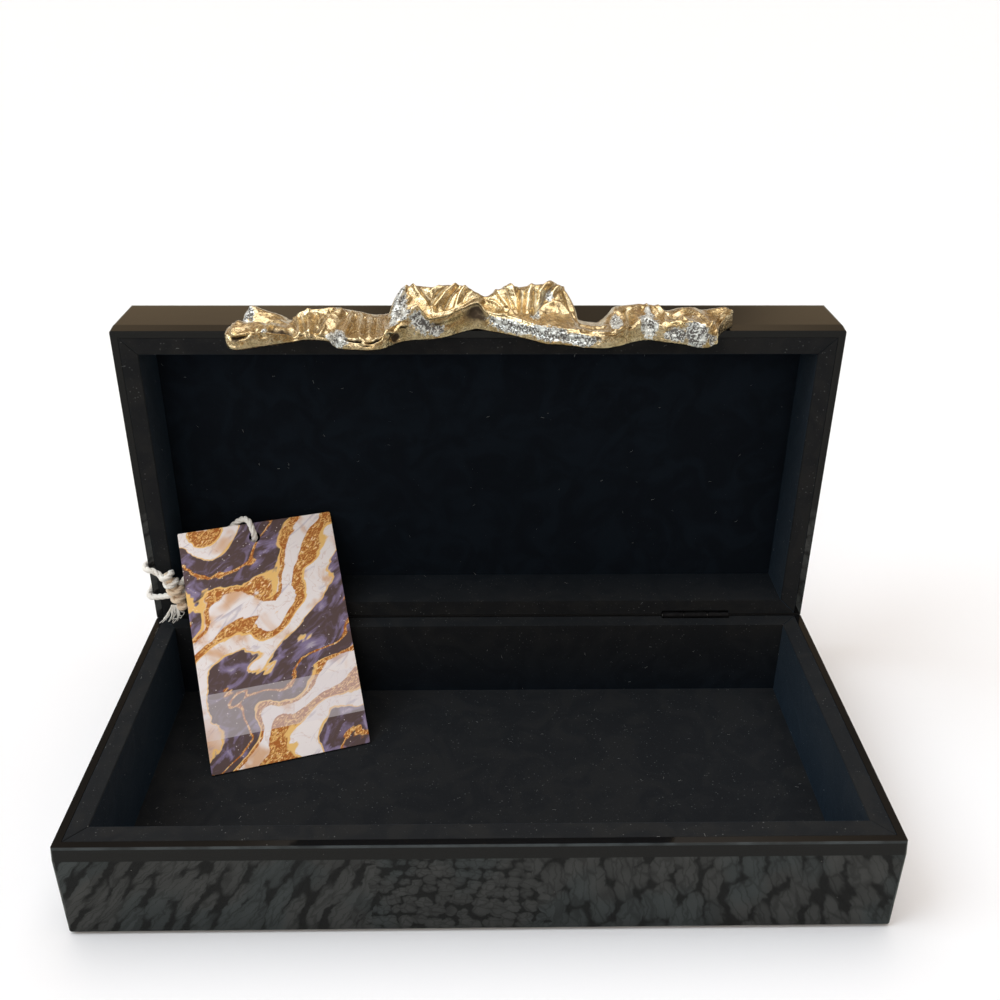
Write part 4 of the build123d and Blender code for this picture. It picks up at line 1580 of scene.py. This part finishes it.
    def build(self, finishes: Finishes) -> Piece:
        """Makes the handle's skin, its worn and tarnished patches, the painted shade down its grooves and the
        painted highlight along its ridges.

        Args:
            finishes: The materials.

        Returns:
            The handle.
        """
        points, x, share = self._skin()
        worn = self._patches(self.worn, x, share)
        pocket = self._patches(self.pockets, x, share)
        along = np.gradient(points, axis=0)
        across = np.gradient(points, axis=1)
        normal = np.cross(along, across)
        normal /= np.maximum(np.linalg.norm(normal, axis=2, keepdims=True), 1e-9)
        drawn, ridge, groove = self._draw_folds(points, x, share)
        fade = np.clip(np.minimum(share / self.fade_front, (1 - share) / self.fade_back), 0, 1)
        points = points + normal * ((drawn + self._relief(points, worn, share)) * fade)[:, :, None]
        points[:, :, 2] = np.maximum(points[:, :, 2], 0.0)
        # Painted shade: every drawn groove is darkened like a tarnished pocket.
        pocket = np.maximum(pocket, groove)
        lines, columns, _ = points.shape
        flat = points.reshape(-1, 3) + np.array([0, self.rim_y_mm, self.face_z_mm])
        faces = []
        for low in range(0, (lines - 1) * columns, columns):
            for column in range(columns):
                beside = (column + 1) % columns
                high = low + columns
                faces.append((low + column, high + column, high + beside, low + beside))
        faces.append(tuple(range(columns)))
        faces.append(tuple(reversed(range((lines - 1) * columns, lines * columns))))
        handle = mesh_object("handle_casting", flat * MM, faces)
        work = bmesh.new()
        work.from_mesh(handle.data)
        bmesh.ops.recalc_face_normals(work, faces=work.faces[:])
        work.to_mesh(handle.data)
        work.free()
        # edge holds the painted highlight along the ridges; pocket holds the tarnished pockets and the painted
        # shade down the grooves.
        for name, values in (("worn", worn), ("pocket", pocket), ("edge", ridge)):
            handle.data.attributes.new(name, "FLOAT", "POINT").data.foreach_set("value", values.reshape(-1))
        dress(handle, finishes.gilt)
        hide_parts("handle")
        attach(handle, Body.LID.value)
        log.info("handle: %d faces", len(handle.data.polygons))
        return handle


# --- Pieces that keep their solids ---


@dataclass
class Joinery:
    """Boards, hinges and screws: their solids stay and get their finish."""

    bare: str = "base_floor_board"

    def dress_all(self, finishes: Finishes) -> None:
        """Gives every remaining solid its finish."""
        for name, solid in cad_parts.items():
            if name.endswith("_wall") or name == "lid_top_board":
                dress(solid, finishes.lacquer)
            elif name == self.bare:
                dress(solid, finishes.board)
            elif name.endswith("_leaf"):
                dress(solid, finishes.hinge)
            elif name.endswith(("_screws", "_pin")):
                dress(solid, finishes.steel)


# --- Studio ---


@dataclass(frozen=True)
class Sun:
    """A wide soft light without falloff: the way it shines, its strength and its width."""

    name: str
    way: tuple
    strength: float
    width_deg: float
    colour: tuple = (1.0, 1.0, 1.0)


@dataclass(frozen=True)
class Lattice:
    """How a field of lumps is laid out: lumps per millimetre of X and Y, across and down."""

    across: tuple
    down: tuple


@dataclass
class Studio:
    """Floor, world, lights and camera.

    A pair whose name ends in _edge or _rise is where something starts and is fully there; a share
    says how strong it is.
    """

    camera_place: tuple = (-0.0011, -0.28886, 0.27537)
    camera_right: tuple = (0.99987, -0.01546, 0.00479)
    camera_up: tuple = (0.00279, 0.45585, 0.89005)
    camera_forward: tuple = (0.01594, 0.88992, -0.45584)
    lens_mm: float = 38.093
    shift: tuple = (0.00603, -0.02278)
    nearest: float = 0.01
    floor_size: float = 40.0
    floor_roughness: float = 0.75
    floor_colour: tuple = (0.83, 0.83, 0.825)
    # Colours of a painted reflection of a plaited mat, which only glossy rays see, and of the plain band in front
    # of it.
    reflected_braid_dark: tuple = (0.14, 0.15, 0.14)
    reflected_braid_light: tuple = (0.97, 1.0, 0.97)
    floor_seen: tuple = (0.90, 0.905, 0.94)
    reflected_braid_plain: tuple = (0.34, 0.35, 0.33)
    reflected_braid_cool: tuple = (0.84, 0.99, 1.0)
    reflected_braid_from_y_mm: float = -91.5
    wander_mm: float = 21.0
    jitter_mm: float = 2.8
    ragged_mm: float = 16.0
    looseness: float = 0.50
    # Painted shade in that reflection: towards each lump's edge, in the gaps between lumps and in the creases
    # between strands.
    lump_shade_edge: tuple = (0.10, 0.70)
    lump_shade_share: float = 0.26
    gap_shade_edge: tuple = (0.53, 0.66)
    gap_shade_share: float = 0.84
    strand_looseness: float = 0.75
    strands: float = 2.5
    fewer_strands: float = 0.9
    crease_shade_edge: tuple = (0.0, 0.10)
    crease_shade_share: float = 0.40
    darkest_lump: float = 0.74
    lump_spread: float = 0.44
    fine_from_mm: float = -37.0
    fine_to_mm: float = 19.0
    leaning: Lattice = Lattice((0.1390, -0.0066), (0.1320, 0.0840))
    beads: Lattice = Lattice((0.2170, 0.0400), (-0.0150, 0.2630))
    upright: Lattice = Lattice((0.1370, 0.0000), (0.0685, 0.0910))
    suns: tuple = (
        Sun("overhead", (0.05, -0.16, -1.0), 1.25, 60.0, (1.0, 0.98, 0.95)),
        Sun("left", (0.85, 0.20, -1.0), 1.2, 34.0, (0.78, 0.91, 1.0)),
        Sun("front", (0.15, 0.90, -0.60), 0.75, 40.0, (1.0, 0.97, 0.93)),
    )
    wall_rise: tuple = (0.05, 0.26)
    wall_share: float = 0.88
    wall_tint: tuple = (1.16, 0.84, 0.50, 1.0)
    cloud_scale: float = 2.6
    cloud_edge: tuple = (0.35, 0.65)
    cloud_share: float = 0.34
    patch_scale: float = 5.5
    patch_edge: tuple = (0.46, 0.56)
    ceiling_rise: tuple = (0.62, 0.86)
    ceiling_share: float = 0.55
    front_edge: tuple = (-0.35, -0.02)
    sky_tint: tuple = (0.97, 0.98, 1.0, 1.0)
    backdrop: tuple = (1.0, 1.0, 1.0, 1.0)

    def set_camera(self) -> None:
        """Puts the camera where the photograph's was."""
        data = bpy.data.cameras.new("camera")
        data.lens = self.lens_mm
        data.shift_x, data.shift_y = self.shift
        data.clip_start = self.nearest
        camera = linked("camera", data)
        turn = Matrix((self.camera_right, self.camera_up, -Vector(self.camera_forward))).transposed().to_4x4()
        turn.translation = Vector(self.camera_place)
        camera.matrix_world = turn
        bpy.context.scene.camera = camera

    def _floor_material(self) -> Material:
        """Plain pale floor; glossy rays see instead a painted reflection of a plaited mat that is not in the scene.
        """
        shade = Shade("studio_floor")
        mirrored = shade.add("ShaderNodeLightPath", output="Is Glossy Ray")
        x, y, _ = shade.split(shade.place)
        seen = shade.add("ShaderNodeLightPath", output="Is Camera Ray")
        # Painted reflection: only glossy rays see this plaited mat; the camera sees the plain floor.
        light = shade.mix(shade.noise(26, 1).step(0.48, 0.62) * 0.8, self.reflected_braid_light, self.reflected_braid_cool)
        painted_reflection = shade.mix(self._reflected_plait(shade, x, y), self.reflected_braid_dark, light)
        start = self.reflected_braid_from_y_mm * MM
        painted_reflection = shade.mix(y.step(start - MM, start + MM), self.reflected_braid_plain, painted_reflection)
        floor = shade.mix(seen, self.floor_colour, self.floor_seen)
        return shade.surface(Base_Color=shade.mix(mirrored, floor, painted_reflection), Roughness=self.floor_roughness)

    def _reflected_plait(self, shade: Shade, x: Wire, y: Wire) -> Wire:
        """A painted reflection of a plaited mat: lumps that touch, with painted shade where three of them meet,
        towards each lump's edge and down the creases between its strands.

        Args:
            shade: The material.
            x: X of the place, in metres.
            y: Y of the place.

        Returns:
            Brightness from 0 in the gaps to 1.
        """
        wander = shade.noise(self.wander_mm, 1) - 0.5
        jitter = shade.noise(self.jitter_mm, 2) - 0.5
        x = x / MM + wander * 6.0 + jitter * 2.4
        y = y / MM + wander * 4.0 + jitter * 2.4
        ragged = x + wander * self.ragged_mm + (shade.noise(6.5, 1) - 0.5) * self.ragged_mm
        past, beyond = ragged > self.fine_from_mm, ragged > self.fine_to_mm
        zones = ((self.leaning, 1 - past), (self.beads, past - beyond), (self.upright, beyond))
        across: Any = 0.0
        down: Any = 0.0
        for lattice, share in zones:
            across = (x * lattice.across[0] + y * lattice.across[1]) * share + across
            down = (x * lattice.down[0] + y * lattice.down[1]) * share + down
        lump = self._cells(shade, "F1", shade.flat(across, down), self.looseness)
        strands = self.strands - self.fewer_strands * (past - beyond)
        ply = (down * (1 - beyond) + across * beyond) * strands
        run = (across * (1 - beyond) + down * beyond) * 1.05
        strand = self._cells(shade, "DISTANCE_TO_EDGE", shade.flat(ply, run), self.strand_looseness)
        distance = lump.of("Distance")
        body = 1 - distance.step(*self.lump_shade_edge) * self.lump_shade_share
        hollow = distance.step(*self.gap_shade_edge) * self.gap_shade_share
        crease_shade = (1 - strand.step(*self.crease_shade_edge)) * self.crease_shade_share
        tone = self.darkest_lump + lump.of("Color") * self.lump_spread
        return body * (1 - hollow) * (1 - crease_shade) * tone

    @staticmethod
    def _cells(shade: Shade, feature: str, at: Wire, looseness: float) -> Wire:
        """Distance to the cells of a loosened unit grid."""
        inputs = {"Vector": at, "Scale": 1.0, "Randomness": looseness}
        return shade.add("ShaderNodeTexVoronoi", {"feature": feature}, inputs, "Distance")

    def _world(self) -> bpy.types.World:
        """Pale backdrop at the horizon, a dim warm wall above it and a bright ceiling."""
        world = bpy.data.worlds.new("studio")
        world.use_nodes = True
        graph = Graph(world.node_tree)
        way = graph.add("ShaderNodeTexCoord", output="Generated")
        _, y, z = graph.split(way)
        clouds = {"Vector": way, "Scale": self.cloud_scale, "Detail": 2.0}
        cloud = graph.add("ShaderNodeTexNoise", None, clouds)
        wall = z.step(*self.wall_rise)
        lamps = {"Vector": way, "Scale": self.patch_scale, "Detail": 1.0}
        patches = graph.add("ShaderNodeTexNoise", None, lamps).step(*self.patch_edge)
        ceiling = z.step(*self.ceiling_rise) * (0.25 + patches * 1.25)
        front = 1 - (1 - y.step(*self.front_edge)) * (0.72 - patches * 0.60)
        dim = 1 - wall * (self.wall_share - cloud.step(*self.cloud_edge) * self.cloud_share)
        strength = (dim + ceiling * self.ceiling_share) * front
        mixed = {0: wall * (1 - ceiling), 6: self.sky_tint, 7: self.wall_tint}
        tint = graph.add("ShaderNodeMix", {"data_type": "RGBA"}, mixed, output=2)
        seen = graph.add("ShaderNodeLightPath", output="Is Camera Ray")
        light = graph.add("ShaderNodeBackground", None, {"Color": tint, "Strength": strength})
        white = graph.add("ShaderNodeBackground", None, {"Color": self.backdrop, "Strength": 1.0})
        sky = graph.add("ShaderNodeMixShader", None, {0: seen, 1: light, 2: white})
        graph.add("ShaderNodeOutputWorld", None, {"Surface": sky})
        return world

    def set_stage(self) -> None:
        """Makes the floor, the world and the lights."""
        half = self.floor_size / 2
        corners = [(-half, -half, 0), (half, -half, 0), (half, half, 0), (-half, half, 0)]
        floor = mesh_object("studio_floor", corners, [(0, 1, 2, 3)], smooth=False)
        dress(floor, self._floor_material())
        floor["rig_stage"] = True
        bpy.context.scene.world = self._world()
        for sun in self.suns:
            data = bpy.data.lights.new(sun.name, "SUN")
            data.energy = sun.strength
            data.angle = math.radians(sun.width_deg)
            data.color = sun.colour
            made = linked(sun.name, data)
            made.rotation_euler = Vector(sun.way).to_track_quat("-Z", "Y").to_euler()
        bpy.context.scene.view_settings.view_transform = "Standard"


def main() -> None:
    """Dresses the box, piece by piece, and measures its bounds before and after."""
    logging.basicConfig(level=logging.INFO, format="%(name)s: %(message)s")
    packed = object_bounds()
    studio = Studio()
    studio.set_camera()
    finishes = Finishes()
    tag = TagPlace()
    StringSet(tag).build(finishes)
    HangTag(tag).build(finishes)
    Joinery().dress_all(finishes)
    Linings().build(finishes)
    Handle().build(finishes)
    studio.set_stage()
    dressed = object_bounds()
    sizes = {"packed": packed, "dressed": dressed}
    {key: [list(map(float, corner)) for corner in box] for key, box in sizes.items()}


if __name__ == "__main__":
    main()
